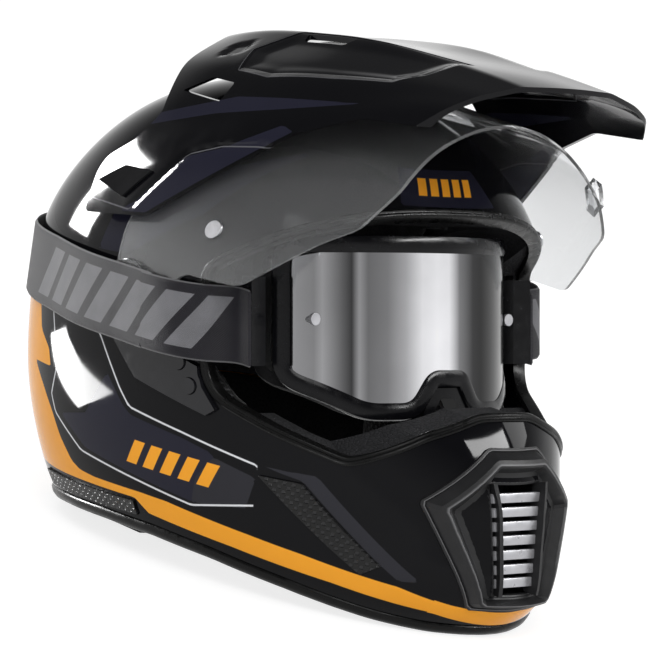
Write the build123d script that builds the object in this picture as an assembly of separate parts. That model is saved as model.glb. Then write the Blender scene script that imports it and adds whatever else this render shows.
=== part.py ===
from build123d import *
import math
import os

# Dual sport helmet, standing on its lower rim and facing -Y, with the wearer's left at +X.
# Places are given as forward, side and up from the head's centre line and the rim's plane.

# Outer shell
SHELL_HALF_WIDTH = 127.0
SHELL_HEIGHT = 258.0
SHELL_FRONT_REACH = 193.0
SHELL_REAR_REACH = 152.0
SHELL_WAIST_BACK = 8.0
SHELL_WALL = 4.0
SECTION_POINTS = 16
SHIELD_POINTS = 17
# Each row: height, half width, front reach, rear reach, front roundness, rear roundness
SHELL_SHARES = (
    (0.000, 0.790, 0.930, 0.750, 1.90, 2.3),
    (0.066, 0.866, 0.995, 0.830, 1.90, 2.3),
    (0.174, 0.937, 0.993, 0.914, 1.86, 2.4),
    (0.290, 0.976, 0.964, 0.967, 1.82, 2.5),
    (0.388, 0.992, 0.907, 0.993, 1.86, 2.5),
    (0.504, 1.000, 0.803, 1.000, 2.00, 2.5),
    (0.620, 0.984, 0.705, 0.974, 2.20, 2.5),
    (0.717, 0.937, 0.627, 0.908, 2.30, 2.4),
    (0.814, 0.835, 0.539, 0.796, 2.30, 2.3),
    (0.899, 0.677, 0.425, 0.638, 2.20, 2.2),
    (0.961, 0.449, 0.280, 0.421, 2.10, 2.1),
    (0.988, 0.252, 0.160, 0.240, 2.00, 2.0),
    (1.000, 0.110, 0.072, 0.104, 2.00, 2.0),
)
OVERRUN = 60.0
SEAT_GAP = 0.3
LAYER_GAP = 0.8

# Lower rim: an arch between the chin and the nape, as forward share and rise share
RIM_ARCH_RISE = 16.0
RIM_TRIM_HEIGHT = 6.5
RIM_TRIM_PROUD = 1.0
RIM_ARCH_SHARES = (
    (0.88, 0.0), (0.78, 0.14), (0.57, 0.56), (0.36, 0.88), (0.16, 1.0),
    (-0.05, 0.92), (-0.26, 0.74), (-0.44, 0.46), (-0.57, 0.0),
)

# Eyeport, in side view as shares of the front reach and of the height
EYEPORT_SIDE_SHARES = (
    (0.265, 0.640), (0.315, 0.425), (0.360, 0.385), (0.520, 0.348), (0.720, 0.312),
    (1.400, 0.200), (1.400, 0.980), (0.554, 0.806), (0.400, 0.722),
)
# Chin lip, in front view as shares of the half width and of the height
LIP_FRONT_SHARES = (
    (0.0, 0.432), (0.14, 0.430), (0.36, 0.388), (0.58, 0.320), (0.75, 0.270), (1.3, 0.235),
)
EYEPORT_CORNER = 7.0
EYEPORT_TRIM_WALL = 3.0
EYEPORT_TRIM_PROUD = 1.5
EYEPORT_TRIM_DEPTH = 6.0

# Inner liners
EPS_WALL = 26.0
CROWN_PAD_WALL = 9.0
EPS_LOWER_EDGE = 70.0
EPS_SIDE_EDGE = 119.0
EPS_SIDE_BACK = 32.0
CHIN_EPS_WALL = 20.0
CHIN_EPS_BACK = 82.0
CHIN_EPS_BASE = 11.0
CHIN_LINER_WALL = 5.0
CHEEK_PAD_CENTRE = (24.0, 96.0, 66.0)
CHEEK_PAD_RADII = (50.0, 39.0, 51.0)
CHEEK_PAD_REAR = 28.0
NECK_ROLL_WALL = 27.0
NECK_ROLL_BASE = 12.0
NECK_ROLL_FRONT = -32.0
# Height shares of the neck roll with their shares of its full thickness
NECK_ROLL_SHARES = ((0.0, 0.59), (0.25, 0.88), (0.5, 1.0), (0.75, 0.88), (1.0, 0.59))
COMFORT_EDGE = 121.0
COMFORT_FRONT = 44.0

# Chin strap
WEBBING_WIDTH = 24.0
WEBBING_WALL = 1.8
WEBBING_FORWARD = 4.0
WEBBING_ANCHOR_UP = 14.5
WEBBING_END_UP = 7.0
RIVET_RADIUS = 5.0
RING_WIRE = 3.0
RING_LENGTH = 34.0
RING_WIDTH = 17.0
WEBBING_GAP_HALF = RING_WIDTH / 2 + SEAT_GAP

# Face shield and its pivots
SHIELD_OPEN_ANGLE = 56.0
SHIELD_STAND_OFF = 5.0
SHIELD_WALL = 2.0
PIVOT_FORWARD = 11.5
PIVOT_UP = 140.0
HUB_INNER = 131.8
HUB_WALL = 2.2
HUB_RADIUS = 20.0
HUB_SKIRT_WALL = 2.4
HUB_SKIRT_INNER = 128.4
PIVOT_PLATE_RADIUS = 16.0
PIVOT_SCREW_RADIUS = 4.0
PIVOT_HEAD_RADIUS = 7.0
PIVOT_HEAD_WALL = 1.2
RUN_GAP = 0.3
# Outline of the closed shield in side view, as shares of the front reach and height
SHIELD_SIDE_SHARES = (
    (0.060, 0.478), (0.245, 0.474), (0.352, 0.361), (0.580, 0.315), (0.670, 0.288),
    (0.777, 0.309), (0.865, 0.364), (0.945, 0.402), (1.100, 0.444), (1.100, 0.830),
    (0.612, 0.822), (0.544, 0.795), (0.466, 0.765), (0.389, 0.736), (0.311, 0.715),
    (0.233, 0.690), (0.155, 0.665), (0.060, 0.605),
)
SHIELD_ROW_SHARES = (0.20, 0.33, 0.47, 0.60, 0.72, 0.86)
SHIELD_TAB_SIDE = 78.0
SHIELD_TAB_UP = 84.0
SHIELD_TAB_SIZE = (14.0, 5.0, 7.0)
PIN_RADIUS = 4.5
PIN_SIDE_UP = 128.0
PIN_FORWARD = 74.0
PIN_WALL = 2.4

# Peak
PEAK_WALL = 2.6
PEAK_BOSS_RADIUS = 7.5
PEAK_SCREW_RADIUS = 2.5
PEAK_SCREW_HEAD = 4.6
PEAK_SCREW_HEAD_WALL = 1.8
PEAK_SCREW_SEAT = 121.8
PEAK_CAP_WALL = 1.6
PEAK_CAP_SHARES = ((-0.185, 0.672), (-0.090, 0.710), (0.035, 0.714), (-0.040, 0.658))
PEAK_AXIS_FORWARD = -22.0
PEAK_AXIS_UP = 188.0
PEAK_TOP = 288.0
PEAK_HALF_WIDTH = 128.0
PEAK_FRONT_REACH = 178.0
# Cross sections: forward share, then side and height shares from the ridge line outwards
PEAK_SECTION_SHARES = (
    (-0.56, ((0.00, 0.890), (0.20, 0.885), (0.44, 0.850), (0.66, 0.768), (0.84, 0.660), (0.95, 0.590))),
    (-0.34, ((0.00, 0.930), (0.25, 0.934), (0.52, 0.880), (0.74, 0.790), (0.92, 0.690), (1.01, 0.600))),
    (-0.12, ((0.00, 0.958), (0.27, 0.970), (0.60, 0.898), (0.80, 0.802), (0.95, 0.705), (1.015, 0.610))),
    (0.12, ((0.00, 0.972), (0.27, 0.984), (0.60, 0.917), (0.80, 0.818), (0.945, 0.716), (1.02, 0.620))),
    (0.34, ((0.00, 0.984), (0.27, 0.998), (0.58, 0.935), (0.76, 0.845), (0.88, 0.745), (0.94, 0.640))),
    (0.60, ((0.00, 0.986), (0.26, 0.990), (0.52, 0.948), (0.66, 0.880), (0.76, 0.800), (0.82, 0.700))),
    (0.82, ((0.00, 0.985), (0.25, 0.983), (0.45, 0.957), (0.58, 0.925), (0.65, 0.855), (0.70, 0.775))),
    (1.02, ((0.00, 0.978), (0.25, 0.970), (0.42, 0.950), (0.55, 0.925), (0.62, 0.860), (0.66, 0.790))),
)
# Side outline of the peak: shares of its front reach and top
PEAK_SIDE_SHARES = (
    (-0.190, 0.611), (0.080, 0.636), (0.460, 0.832), (0.660, 0.884), (0.900, 0.896),
    (0.990, 0.930), (1.000, 1.100), (-0.315, 1.100), (-0.305, 0.945), (-0.195, 0.875),
    (-0.095, 0.809), (-0.125, 0.757), (-0.210, 0.715), (-0.220, 0.690),
)
# Front outline of the peak in plan: shares of the half width and of the front reach
PEAK_PLAN_SHARES = (
    (0.00, 0.985), (0.20, 0.975), (0.42, 0.950), (0.58, 0.918), (0.75, 0.700),
    (1.10, 0.500), (1.10, -0.600), (0.00, -0.600),
)
PEAK_VENT_INNER_SHARE = 0.3
PEAK_SIDE_VENT_SHARES = ((-0.090, 0.853), (-0.005, 0.887), (0.107, 0.889), (0.112, 0.853))
PEAK_TOP_SLOT_SHARES = ((0.290, 0.300), (0.340, 0.280), (0.345, 0.110), (0.295, 0.090))

# Chin vent, front view: half widths and heights
VENT_OUTLINE = ((17.0, 98.0), (51.0, 69.0), (26.0, 17.0))
VENT_MOUTH = ((19.0, 82.0), (14.0, 24.0))
VENT_PROUD = 7.0
VENT_GRILLE_DEPTH = 1.5
VENT_GRILLE_WALL = 5.0
VENT_SLAT = 2.0
VENT_SLAT_RISE = 4.6
VENT_SLAT_COUNT = 8
VENT_POST_SIDE = 6.0
VENT_SHUTTER_WALL = 1.6
VENT_SHUTTER_HEIGHT = 24.0
VENT_SHUTTER_TRAVEL = 8.0
VENT_KNOB_RADIUS = 3.0
VENT_KNOB_LENGTH = 5.0

# Smaller vents and covers on the shell, side view outlines as forward and up
COVER_WALL = 2.6
CHIN_SIDE_VENT_POINTS = ((98.0, 66.0), (119.0, 67.0), (158.0, 33.0), (150.0, 27.0))
SIDE_PLATE_POINTS = (
    (0.0, 117.0), (20.0, 99.0), (67.0, 90.0), (72.0, 94.0), (63.0, 104.0), (59.0, 114.0), (38.0, 119.0),
)
SIDE_PLATE_SCREWS = ((48.0, 114.0), (56.0, 103.0))
SIDE_SCREW_RADIUS = 4.2
SIDE_SCREW_WALL = 1.2
REAR_VENT_POINTS = ((-70.0, 26.0), (20.0, 32.0), (22.0, 25.0), (-64.0, 19.0))
EXHAUST_UP = (196.0, 214.0)
EXHAUST_SIDE = (18.0, 58.0)
EXHAUST_SLAT_COUNT = 4
EXHAUST_SLAT_WALL = 2.2

# Goggles, drawn upright and then leaned back with the face line
GOGGLE_LEAN = 13.0
LENS_RADIUS = 95.0
LENS_CENTRE = 50.0
LENS_WALL = 1.3
LENS_HALF_WIDTH = 77.0
LENS_TOP = 158.0
LENS_SIDE_BASE = 94.0
LENS_BASE = 77.0
LENS_CORNER_SHARE = 0.6
NOSE_HALF_WIDTH = 23.0
NOSE_TOP_HALF_WIDTH = 12.0
NOSE_RISE = 17.0
FRAME_BORDER = 7.5
FRAME_INNER_RADIUS = 85.0
FRAME_PROUD = 1.8
FOAM_INNER_RADIUS = 72.0
LENS_BITE = 3.0
OUTRIGGER_POINTS = ((84.8, 84.0), (84.8, 98.0), (90.0, 104.0), (101.0, 106.0), (101.0, 99.0), (94.0, 92.0))
OUTRIGGER_UP = (98.0, 144.0)
POST_RADIUS = 2.0
POST_HEAD_RADIUS = 3.2
POST_LENGTH = 4.0
POST_PLACES = ((70.0, 122.0),)
STRAP_WALL = 2.0
STRAP_HEIGHT = 40.0
STRAP_FRONT = 33.0
STRAP_HUB_GAP = 0.6
STRAP_UP_FRONT = 137.5
STRAP_UP_REAR = 136.5
STRAP_ROW_UP = 130.0
STRAP_WIDE_OFFSET = 9.4
STRAP_NEAR_OFFSET = 1.6
STRAP_SPREAD = 60.0
# Side and forward places of the strap's front stretch, in the goggles' own leaned frame
STRAP_FRONT_POINTS = ((102.3, 106.0), (102.3, 99.0), (118.5, 92.5))
STRAP_BEND_FORWARD = 69.0
STRAP_POINTS = 33
SLIDER_WIDTH = 16.0
SLIDER_WALL = 1.8
SLIDER_FORWARD = -62.0

REAR_MOST = SHELL_REAR_REACH + STRAP_NEAR_OFFSET + STRAP_WALL / 2
FRONT_MOST = SHELL_FRONT_REACH + VENT_PROUD
MID_REACH = (FRONT_MOST - REAR_MOST) / 2


def along(forward):
    """The Y place of a forward reach."""
    return MID_REACH - forward


def scaled(shares, width, height):
    """Turn share pairs into sizes."""
    return [(share[0] * width, share[1] * height) for share in shares]


def section_point(turn, height, half_width, front, rear, front_round, rear_round):
    """One point of a rounded section, at a turn from the front centre line."""
    waist = SHELL_WAIST_BACK
    lean, across = math.cos(turn), math.sin(turn)
    power = 2 / (front_round if lean >= 0 else rear_round)
    reach = front + waist if lean >= 0 else rear - waist
    forward = math.copysign(abs(lean) ** power, lean) * reach - waist
    side = math.copysign(abs(across) ** power, across) * half_width
    return (side, along(forward), height)


def section_points(*row):
    """Points of one rounded section, from the front centre line round by the left."""
    return [section_point(2 * math.pi * step / SECTION_POINTS, *row) for step in range(SECTION_POINTS)]


def loft_rows(rows):
    """Loft through rounded sections."""
    faces = [make_face(Spline(*section_points(*row), periodic=True)) for row in rows]
    return loft(faces)


def skin(grow):
    """The shell's outer form moved outwards by a length, inwards where it is negative."""
    rows = []
    for up, wide, front, rear, round_front, round_rear in SHELL_SHARES:
        rows.append((
            up * (SHELL_HEIGHT + grow),
            wide * SHELL_HALF_WIDTH + grow,
            front * SHELL_FRONT_REACH + grow,
            rear * SHELL_REAR_REACH + grow,
            round_front,
            round_rear,
        ))
    return loft_rows(rows)


def core(depth):
    """The shell's form drawn in by a depth in the same proportions, for thick liners."""
    rows = []
    for up, wide, front, rear, round_front, round_rear in SHELL_SHARES:
        rows.append((
            up * (SHELL_HEIGHT - depth),
            wide * (SHELL_HALF_WIDTH - depth),
            front * (SHELL_FRONT_REACH - depth),
            rear * (SHELL_REAR_REACH - depth),
            round_front,
            round_rear,
        ))
    return loft_rows(rows)


def outline_face(points, corner=0.0):
    """A flat face from outline points, with its corners rounded."""
    face = make_face(Polyline(*points, close=True))
    if corner > 0:
        face = fillet(face.vertices(), corner)
    return face


def side_prism(points, side_from, side_to, corner=0.0, grow=0.0):
    """A prism along X from an outline of forward and up places."""
    face = outline_face([(along(forward), up) for forward, up in points], corner)
    if grow:
        face = offset(face, amount=grow)
    return extrude(Plane.YZ.offset(side_from) * face, side_to - side_from)


def front_prism(points, forward_from, forward_to, corner=0.0, grow=0.0):
    """A prism along the forward direction from an outline of side and up places."""
    face = outline_face(points, corner)
    if grow:
        face = offset(face, amount=grow)
    return extrude(Plane.XZ.offset(-along(forward_from)) * face, forward_to - forward_from)


def plan_prism(points, up_from, up_to, corner=0.0):
    """A prism upwards from an outline of side and forward places."""
    face = outline_face([(side, along(forward)) for side, forward in points], corner)
    return extrude(Plane.XY.offset(up_from) * face, up_to - up_from)


def block(forward_range, side_range, up_range):
    """A block between ranges of places."""
    long = forward_range[1] - forward_range[0]
    wide = side_range[1] - side_range[0]
    tall = up_range[1] - up_range[0]
    middle = (
        (side_range[0] + side_range[1]) / 2,
        along((forward_range[0] + forward_range[1]) / 2),
        (up_range[0] + up_range[1]) / 2,
    )
    return Location(middle) * Box(wide, long, tall)


def side_rod(forward, up, side_from, side_to, radius):
    """A round rod along X."""
    place = Plane.YZ.offset(side_from) * Location((along(forward), up))
    return extrude(place * Circle(radius), side_to - side_from)


def both_sides(right_hand_piece):
    """A piece and its mirror image, as two solids."""
    return Compound(children=solids_of(right_hand_piece) + solids_of(right_hand_piece.mirror(Plane.YZ)))


def mirrored_outline(points):
    """Close a half outline of side and up places with its mirror image."""
    return list(points) + [(-side, up) for side, up in reversed(points) if side > 0]


def solids_of(piece):
    """The solids of a piece, as a list."""
    return list(piece.solids())


WIDE = SHELL_HALF_WIDTH + OVERRUN
TALL = SHELL_HEIGHT + OVERRUN
FAR = SHELL_FRONT_REACH + OVERRUN
HELMET = {
    "outer": skin(0.0),
    "inner": skin(-SHELL_WALL),
    "seat": skin(SEAT_GAP),
    "liner_outer": skin(-SHELL_WALL - LAYER_GAP),
    "eps_inner": core(SHELL_WALL + EPS_WALL),
}


def rim_slab(lift):
    """Everything below the lower rim's arch, raised by a length."""
    arch = [
        (along(share[0] * SHELL_FRONT_REACH), share[1] * RIM_ARCH_RISE + lift)
        for share in RIM_ARCH_SHARES
    ]
    edge = [Spline(*arch)]
    corners = [
        arch[-1], (along(-FAR), lift), (along(-FAR), -OVERRUN),
        (along(FAR), -OVERRUN), (along(FAR), lift), arch[0],
    ]
    edge.append(Polyline(*corners))
    face = make_face(edge)
    return extrude(Plane.YZ.offset(-WIDE) * face, 2 * WIDE)


def eyeport_cutter(inset=0.0):
    """The space that the eyeport leaves open, drawn in by an inset."""
    side_points = scaled(EYEPORT_SIDE_SHARES, SHELL_FRONT_REACH, SHELL_HEIGHT)
    side_view = side_prism(side_points, -WIDE, WIDE, EYEPORT_CORNER, -inset)
    lip = scaled(LIP_FRONT_SHARES, SHELL_HALF_WIDTH, SHELL_HEIGHT)
    lip = [(side, up + inset) for side, up in lip]
    lip.append((WIDE, TALL))
    points = lip + [(-side, up) for side, up in reversed(lip) if side > 0]
    front_view = front_prism(points, 0.0, FAR)
    return side_view & front_view


def vent_prism(points, grow=0.0):
    """A prism through the chin from a vent outline."""
    return front_prism(mirrored_outline(points), CHIN_EPS_BACK, FAR, grow=grow)


def make_outer_shell(eyeport):
    shell = HELMET["outer"] - HELMET["inner"]
    shell -= rim_slab(RIM_TRIM_HEIGHT + SEAT_GAP)
    shell -= eyeport
    shell -= vent_prism(VENT_MOUTH, SEAT_GAP)
    for side in (-1, 1):
        shell -= side_rod(
            PEAK_AXIS_FORWARD, PEAK_AXIS_UP, side * SHELL_HALF_WIDTH / 2, side * WIDE,
            PEAK_SCREW_RADIUS + SEAT_GAP,
        )
        shell -= side_rod(
            PIVOT_FORWARD, PIVOT_UP, side * SHELL_HALF_WIDTH / 2, side * WIDE,
            PIVOT_SCREW_RADIUS + SEAT_GAP,
        )
    shell -= exhaust_block(SEAT_GAP)
    return shell


def exhaust_block(grow=0.0):
    """The two exhaust openings at the back of the crown."""
    low, high = EXHAUST_UP
    near, far = EXHAUST_SIDE
    blocks = []
    for side in (-1, 1):
        span = sorted((side * (near - grow), side * (far + grow)))
        blocks.append(block((-FAR, -SHELL_REAR_REACH / 3), span, (low - grow, high + grow)))
    return Compound(children=[solid for piece in blocks for solid in piece.solids()])


def make_rear_exhausts():
    """Two slatted grilles that fill the exhaust openings."""
    wall = HELMET["outer"] - HELMET["inner"]
    frames = wall & exhaust_block()
    low, high = EXHAUST_UP
    pitch = (high - low) / EXHAUST_SLAT_COUNT
    near, far = EXHAUST_SIDE
    for count in range(EXHAUST_SLAT_COUNT):
        base = low + pitch * count + EXHAUST_SLAT_WALL
        for side in (-1, 1):
            span = sorted((side * (near + EXHAUST_SLAT_WALL), side * (far - EXHAUST_SLAT_WALL)))
            frames -= block((-FAR, -SHELL_REAR_REACH / 3), span, (base, base + pitch - EXHAUST_SLAT_WALL))
    return frames


def make_rim_trim():
    ring = skin(RIM_TRIM_PROUD) - skin(-SHELL_WALL - RIM_TRIM_PROUD)
    return (ring & rim_slab(RIM_TRIM_HEIGHT)) - rim_slab(0.0)


def make_eyeport_trim():
    band = skin(EYEPORT_TRIM_PROUD) - skin(-EYEPORT_TRIM_DEPTH)
    band &= eyeport_cutter(SEAT_GAP)
    return band - eyeport_cutter(SEAT_GAP + EYEPORT_TRIM_WALL)


def goggle_room():
    """The space kept free in the liners for the goggles."""
    grow = FRAME_BORDER + 2 * LENS_BITE
    room = lens_outline(grow)
    solid = extrude(Plane.XZ.offset(LENS_CENTRE) * room, LENS_RADIUS)
    arm_side = max(side for side, _ in OUTRIGGER_POINTS) + 2 * LENS_BITE
    arm_back = min(forward for _, forward in OUTRIGGER_POINTS) - LENS_BITE
    low, high = OUTRIGGER_UP
    tall = high - low + 2 * LENS_BITE
    arms = Plane.XZ.offset(arm_back) * Location((0, (low + high) / 2)) * Rectangle(2 * arm_side, tall)
    solid += extrude(arms, LENS_RADIUS)
    return lean_goggles(solid)


def make_eps_liner(eyeport):
    liner = HELMET["liner_outer"] - HELMET["eps_inner"]
    liner -= block((-FAR, FAR), (-WIDE, WIDE), (-OVERRUN, EPS_LOWER_EDGE))
    liner -= block((-EPS_SIDE_BACK, FAR), (-WIDE, WIDE), (-OVERRUN, EPS_SIDE_EDGE))
    liner -= eyeport
    liner -= goggle_room()
    for side in (-1, 1):
        for forward, up, radius in (
            (PEAK_AXIS_FORWARD, PEAK_AXIS_UP, PEAK_SCREW_RADIUS),
            (PIVOT_FORWARD, PIVOT_UP, PIVOT_SCREW_RADIUS),
        ):
            inner = side * SHELL_HALF_WIDTH / 2
            liner -= side_rod(forward, up, inner, side * WIDE, radius + LAYER_GAP)
    return liner


def make_comfort_liner(eyeport):
    depth = SHELL_WALL + EPS_WALL + LAYER_GAP
    pad = core(depth) - core(depth + CROWN_PAD_WALL)
    pad -= block((-FAR, FAR), (-WIDE, WIDE), (-OVERRUN, COMFORT_EDGE))
    pad -= block((COMFORT_FRONT, FAR), (-WIDE, WIDE), (-OVERRUN, TALL))
    pad -= eyeport
    return pad - goggle_room()


def make_chin_eps():
    wall = HELMET["liner_outer"] - core(SHELL_WALL + CHIN_EPS_WALL)
    wall &= block((CHIN_EPS_BACK, FAR), (-WIDE, WIDE), (CHIN_EPS_BASE, EPS_SIDE_EDGE))
    wall -= rim_slab(RIM_TRIM_HEIGHT + LAYER_GAP)
    wall -= eyeport_cutter(-LAYER_GAP)
    return wall - vent_prism(VENT_MOUTH, SEAT_GAP)


def make_chin_liner():
    depth = SHELL_WALL + CHIN_EPS_WALL + LAYER_GAP
    wall = core(depth) - core(depth + CHIN_LINER_WALL)
    base = CHIN_EPS_BASE + RIM_TRIM_HEIGHT
    wall &= block((CHIN_EPS_BACK, FAR), (-WIDE, WIDE), (base, EPS_SIDE_EDGE))
    return wall - eyeport_cutter(-LAYER_GAP)


def make_cheek_pad():
    forward, side, up = CHEEK_PAD_CENTRE
    long, wide, tall = CHEEK_PAD_RADII
    form = scale(Sphere(1), by=(wide, long, tall))
    form = Location((side, along(forward), up)) * form
    pad = form & skin(-SHELL_WALL - 2 * LAYER_GAP)
    front = CHIN_EPS_BACK - LAYER_GAP
    top = EPS_SIDE_EDGE - LAYER_GAP
    pad &= block((-CHEEK_PAD_REAR, front), (0.0, WIDE), (CHIN_EPS_BASE, top))
    pad -= goggle_room()
    return pad - rim_slab(RIM_TRIM_HEIGHT + LAYER_GAP)


def make_neck_roll():
    """A crowned roll inside the nape, fuller in its middle."""
    rows = []
    low = NECK_ROLL_BASE
    high = EPS_LOWER_EDGE - LAYER_GAP
    outer = skin(-SHELL_WALL - 2 * LAYER_GAP)
    for share, fullness in NECK_ROLL_SHARES:
        up = low + (high - low) * share
        rows.append(row_at(up, -SHELL_WALL - NECK_ROLL_WALL * fullness))
    keep = block((-FAR, NECK_ROLL_FRONT - LAYER_GAP), (-WIDE, WIDE), (low, high))
    roll = (outer - loft_rows(rows)) & keep
    return roll - rim_slab(RIM_TRIM_HEIGHT + LAYER_GAP)


def row_at(up, grow):
    """One section of the shell's form at a height, moved outwards by a length."""
    share = up / SHELL_HEIGHT
    for low, high in zip(SHELL_SHARES, SHELL_SHARES[1:]):
        if low[0] <= share <= high[0]:
            part = (share - low[0]) / (high[0] - low[0])
            mixed = [a + (b - a) * part for a, b in zip(low, high)]
            break
    return (
        up,
        mixed[1] * SHELL_HALF_WIDTH + grow,
        mixed[2] * SHELL_FRONT_REACH + grow,
        mixed[3] * SHELL_REAR_REACH + grow,
        mixed[4],
        mixed[5],
    )


def shell_side(forward, up, grow=0.0):
    """The side place of the shell's surface at a forward place and a height."""
    _, half_width, front, rear, front_round, rear_round = row_at(up, grow)
    waist = SHELL_WAIST_BACK
    reach = front + waist if forward > -waist else rear - waist
    power = front_round if forward > -waist else rear_round
    lean = min(abs(forward + waist) / reach, 1.0)
    return half_width * (1 - lean ** power) ** (1 / power)


def shell_front(side, up, grow=0.0):
    """The forward place of the shell's surface at a side place and a height."""
    height = up * SHELL_HEIGHT / (SHELL_HEIGHT + grow)
    _, half_width, front, _, front_round, _ = row_at(height, grow)
    lean = (side / half_width) ** front_round
    return (front + SHELL_WAIST_BACK) * (1 - lean) ** (1 / front_round) - SHELL_WAIST_BACK


def make_webbing():
    """The left chin strap, from its rivet at the shell in to the rings."""
    outer = shell_side(WEBBING_FORWARD, WEBBING_ANCHOR_UP) - SHELL_WALL - 2 * SEAT_GAP
    wall = WEBBING_WALL
    points = [
        (outer, WEBBING_ANCHOR_UP), (WEBBING_GAP_HALF, WEBBING_END_UP),
        (WEBBING_GAP_HALF, WEBBING_END_UP - wall), (outer, WEBBING_ANCHOR_UP - wall),
    ]
    half = WEBBING_WIDTH / 2
    return front_prism(points, WEBBING_FORWARD - half, WEBBING_FORWARD + half)


def make_strap_rivets():
    """A rivet and washer that hold each end of the chin strap."""
    outer = shell_side(WEBBING_FORWARD, WEBBING_ANCHOR_UP) - SHELL_WALL - 2 * LAYER_GAP
    side = outer - 2 * RIVET_RADIUS
    up = WEBBING_ANCHOR_UP + WEBBING_WALL / 2 - SEAT_GAP
    rivet = Location((side, along(WEBBING_FORWARD), up)) * Cylinder(RIVET_RADIUS, WEBBING_WALL)
    return rivet


def make_chin_rings():
    """Two D shaped rings between the ends of the chin strap."""
    rings = []
    for count in range(2):
        turn = (2 * count - 1)
        centre = (turn * RING_WIDTH / 4, along(WEBBING_FORWARD), WEBBING_END_UP - WEBBING_WALL / 2)
        outer = Rectangle(RING_WIDTH / 2 - SEAT_GAP, RING_LENGTH)
        outer = fillet(outer.vertices(), RING_WIRE)
        inner = Rectangle(RING_WIDTH / 2 - SEAT_GAP - RING_WIRE, RING_LENGTH - 2 * RING_WIRE)
        ring = extrude(outer - inner, RING_WIRE / 2, both=True)
        rings.append(Location(centre) * ring)
    return Compound(children=[solid for ring in rings for solid in ring.solids()])


def shield_turn(piece, angle):
    """Turn a piece about the shield's pivot line; a positive angle raises its front."""
    axis = Axis((0, along(PIVOT_FORWARD), PIVOT_UP), (1, 0, 0))
    return piece.rotate(axis, -angle)


def front_band(stand_off, wall):
    """A curved band in front of the shell's form, between two distances from it."""
    faces = []
    for share in SHIELD_ROW_SHARES:
        arcs = []
        for grow in (stand_off, stand_off + wall):
            row = row_at(share * SHELL_HEIGHT, grow)
            arc = []
            for step in range(SHIELD_POINTS):
                turn = math.pi * (step / (SHIELD_POINTS - 1) - 0.5)
                arc.append(section_point(turn, *row))
            arcs.append(arc)
        inner, outer = arcs
        edges = [Spline(*outer), Line(outer[-1], inner[-1]), Spline(*inner), Line(inner[0], outer[0])]
        faces.append(make_face(edges))
    return loft(faces)


def make_face_shield():
    """The clear shield with its two hubs, modelled closed and then raised."""
    band = front_band(SHIELD_STAND_OFF, SHIELD_WALL)
    points = scaled(SHIELD_SIDE_SHARES, SHELL_FRONT_REACH, SHELL_HEIGHT)
    shield = band & side_prism(points, -WIDE, WIDE)
    keep_out = block((-FAR, PIVOT_FORWARD), (-WIDE, WIDE), (-OVERRUN, TALL))
    shield -= keep_out
    for side in (-1, 1):
        inner = side * (HUB_INNER - OVERRUN)
        shield -= side_rod(PIVOT_FORWARD, PIVOT_UP, inner, side * WIDE, HUB_RADIUS - HUB_SKIRT_WALL)
        disc = side_rod(PIVOT_FORWARD, PIVOT_UP, side * HUB_INNER, side * (HUB_INNER + HUB_WALL), HUB_RADIUS)
        skirt = side_rod(
            PIVOT_FORWARD, PIVOT_UP, side * HUB_SKIRT_INNER, side * (HUB_INNER + HUB_WALL), HUB_RADIUS
        )
        skirt -= side_rod(
            PIVOT_FORWARD, PIVOT_UP, side * HUB_SKIRT_INNER, side * HUB_INNER,
            HUB_RADIUS - HUB_SKIRT_WALL,
        )
        shield += disc + skirt
        shield -= side_rod(
            PIVOT_FORWARD, PIVOT_UP, inner, side * WIDE, PIVOT_SCREW_RADIUS + RUN_GAP
        )
        seat = HUB_INNER + HUB_WALL - PIVOT_HEAD_WALL
        shield -= side_rod(
            PIVOT_FORWARD, PIVOT_UP, side * (seat - RUN_GAP), side * WIDE, PIVOT_HEAD_RADIUS + RUN_GAP
        )
    return shield_turn(shield, SHIELD_OPEN_ANGLE)


def make_shield_tab():
    """The lift tab on the left of the shield's lower edge."""
    long, deep, tall = SHIELD_TAB_SIZE
    side = SHIELD_TAB_SIDE
    grow = SHIELD_STAND_OFF + SHIELD_WALL + SEAT_GAP
    tab = front_band(grow, deep)
    tab &= block((0.0, FAR), (side - long / 2, side + long / 2), (SHIELD_TAB_UP, SHIELD_TAB_UP + tall))
    return shield_turn(tab, SHIELD_OPEN_ANGLE)


def make_shield_pins():
    """Round pins near the shield's sides that hold an inner lens."""
    pins = []
    grow = SHIELD_STAND_OFF + SHIELD_WALL + SEAT_GAP
    shell_band = front_band(grow, PIN_WALL / 2)
    for side in (-1, 1):
        rod = side_rod(PIN_FORWARD, PIN_SIDE_UP, side * SHELL_HALF_WIDTH / 2, side * WIDE, PIN_RADIUS)
        pins += solids_of(shell_band & rod)
    return shield_turn(Compound(children=pins), SHIELD_OPEN_ANGLE)


def make_pivot_plate():
    """The fixed plate under the left shield hub."""
    plate = side_rod(PIVOT_FORWARD, PIVOT_UP, SHELL_HALF_WIDTH / 2, HUB_INNER - RUN_GAP, PIVOT_PLATE_RADIUS)
    plate -= HELMET["seat"]
    hole = side_rod(PIVOT_FORWARD, PIVOT_UP, SHELL_HALF_WIDTH / 2, WIDE, PIVOT_SCREW_RADIUS + SEAT_GAP)
    return plate - hole


def make_pivot_screw():
    inner = SHELL_HALF_WIDTH - 2 * SHELL_WALL
    seat = HUB_INNER + HUB_WALL - PIVOT_HEAD_WALL
    shank = side_rod(PIVOT_FORWARD, PIVOT_UP, inner, seat, PIVOT_SCREW_RADIUS)
    head = side_rod(PIVOT_FORWARD, PIVOT_UP, seat, HUB_INNER + HUB_WALL, PIVOT_HEAD_RADIUS)
    return shank + head


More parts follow.
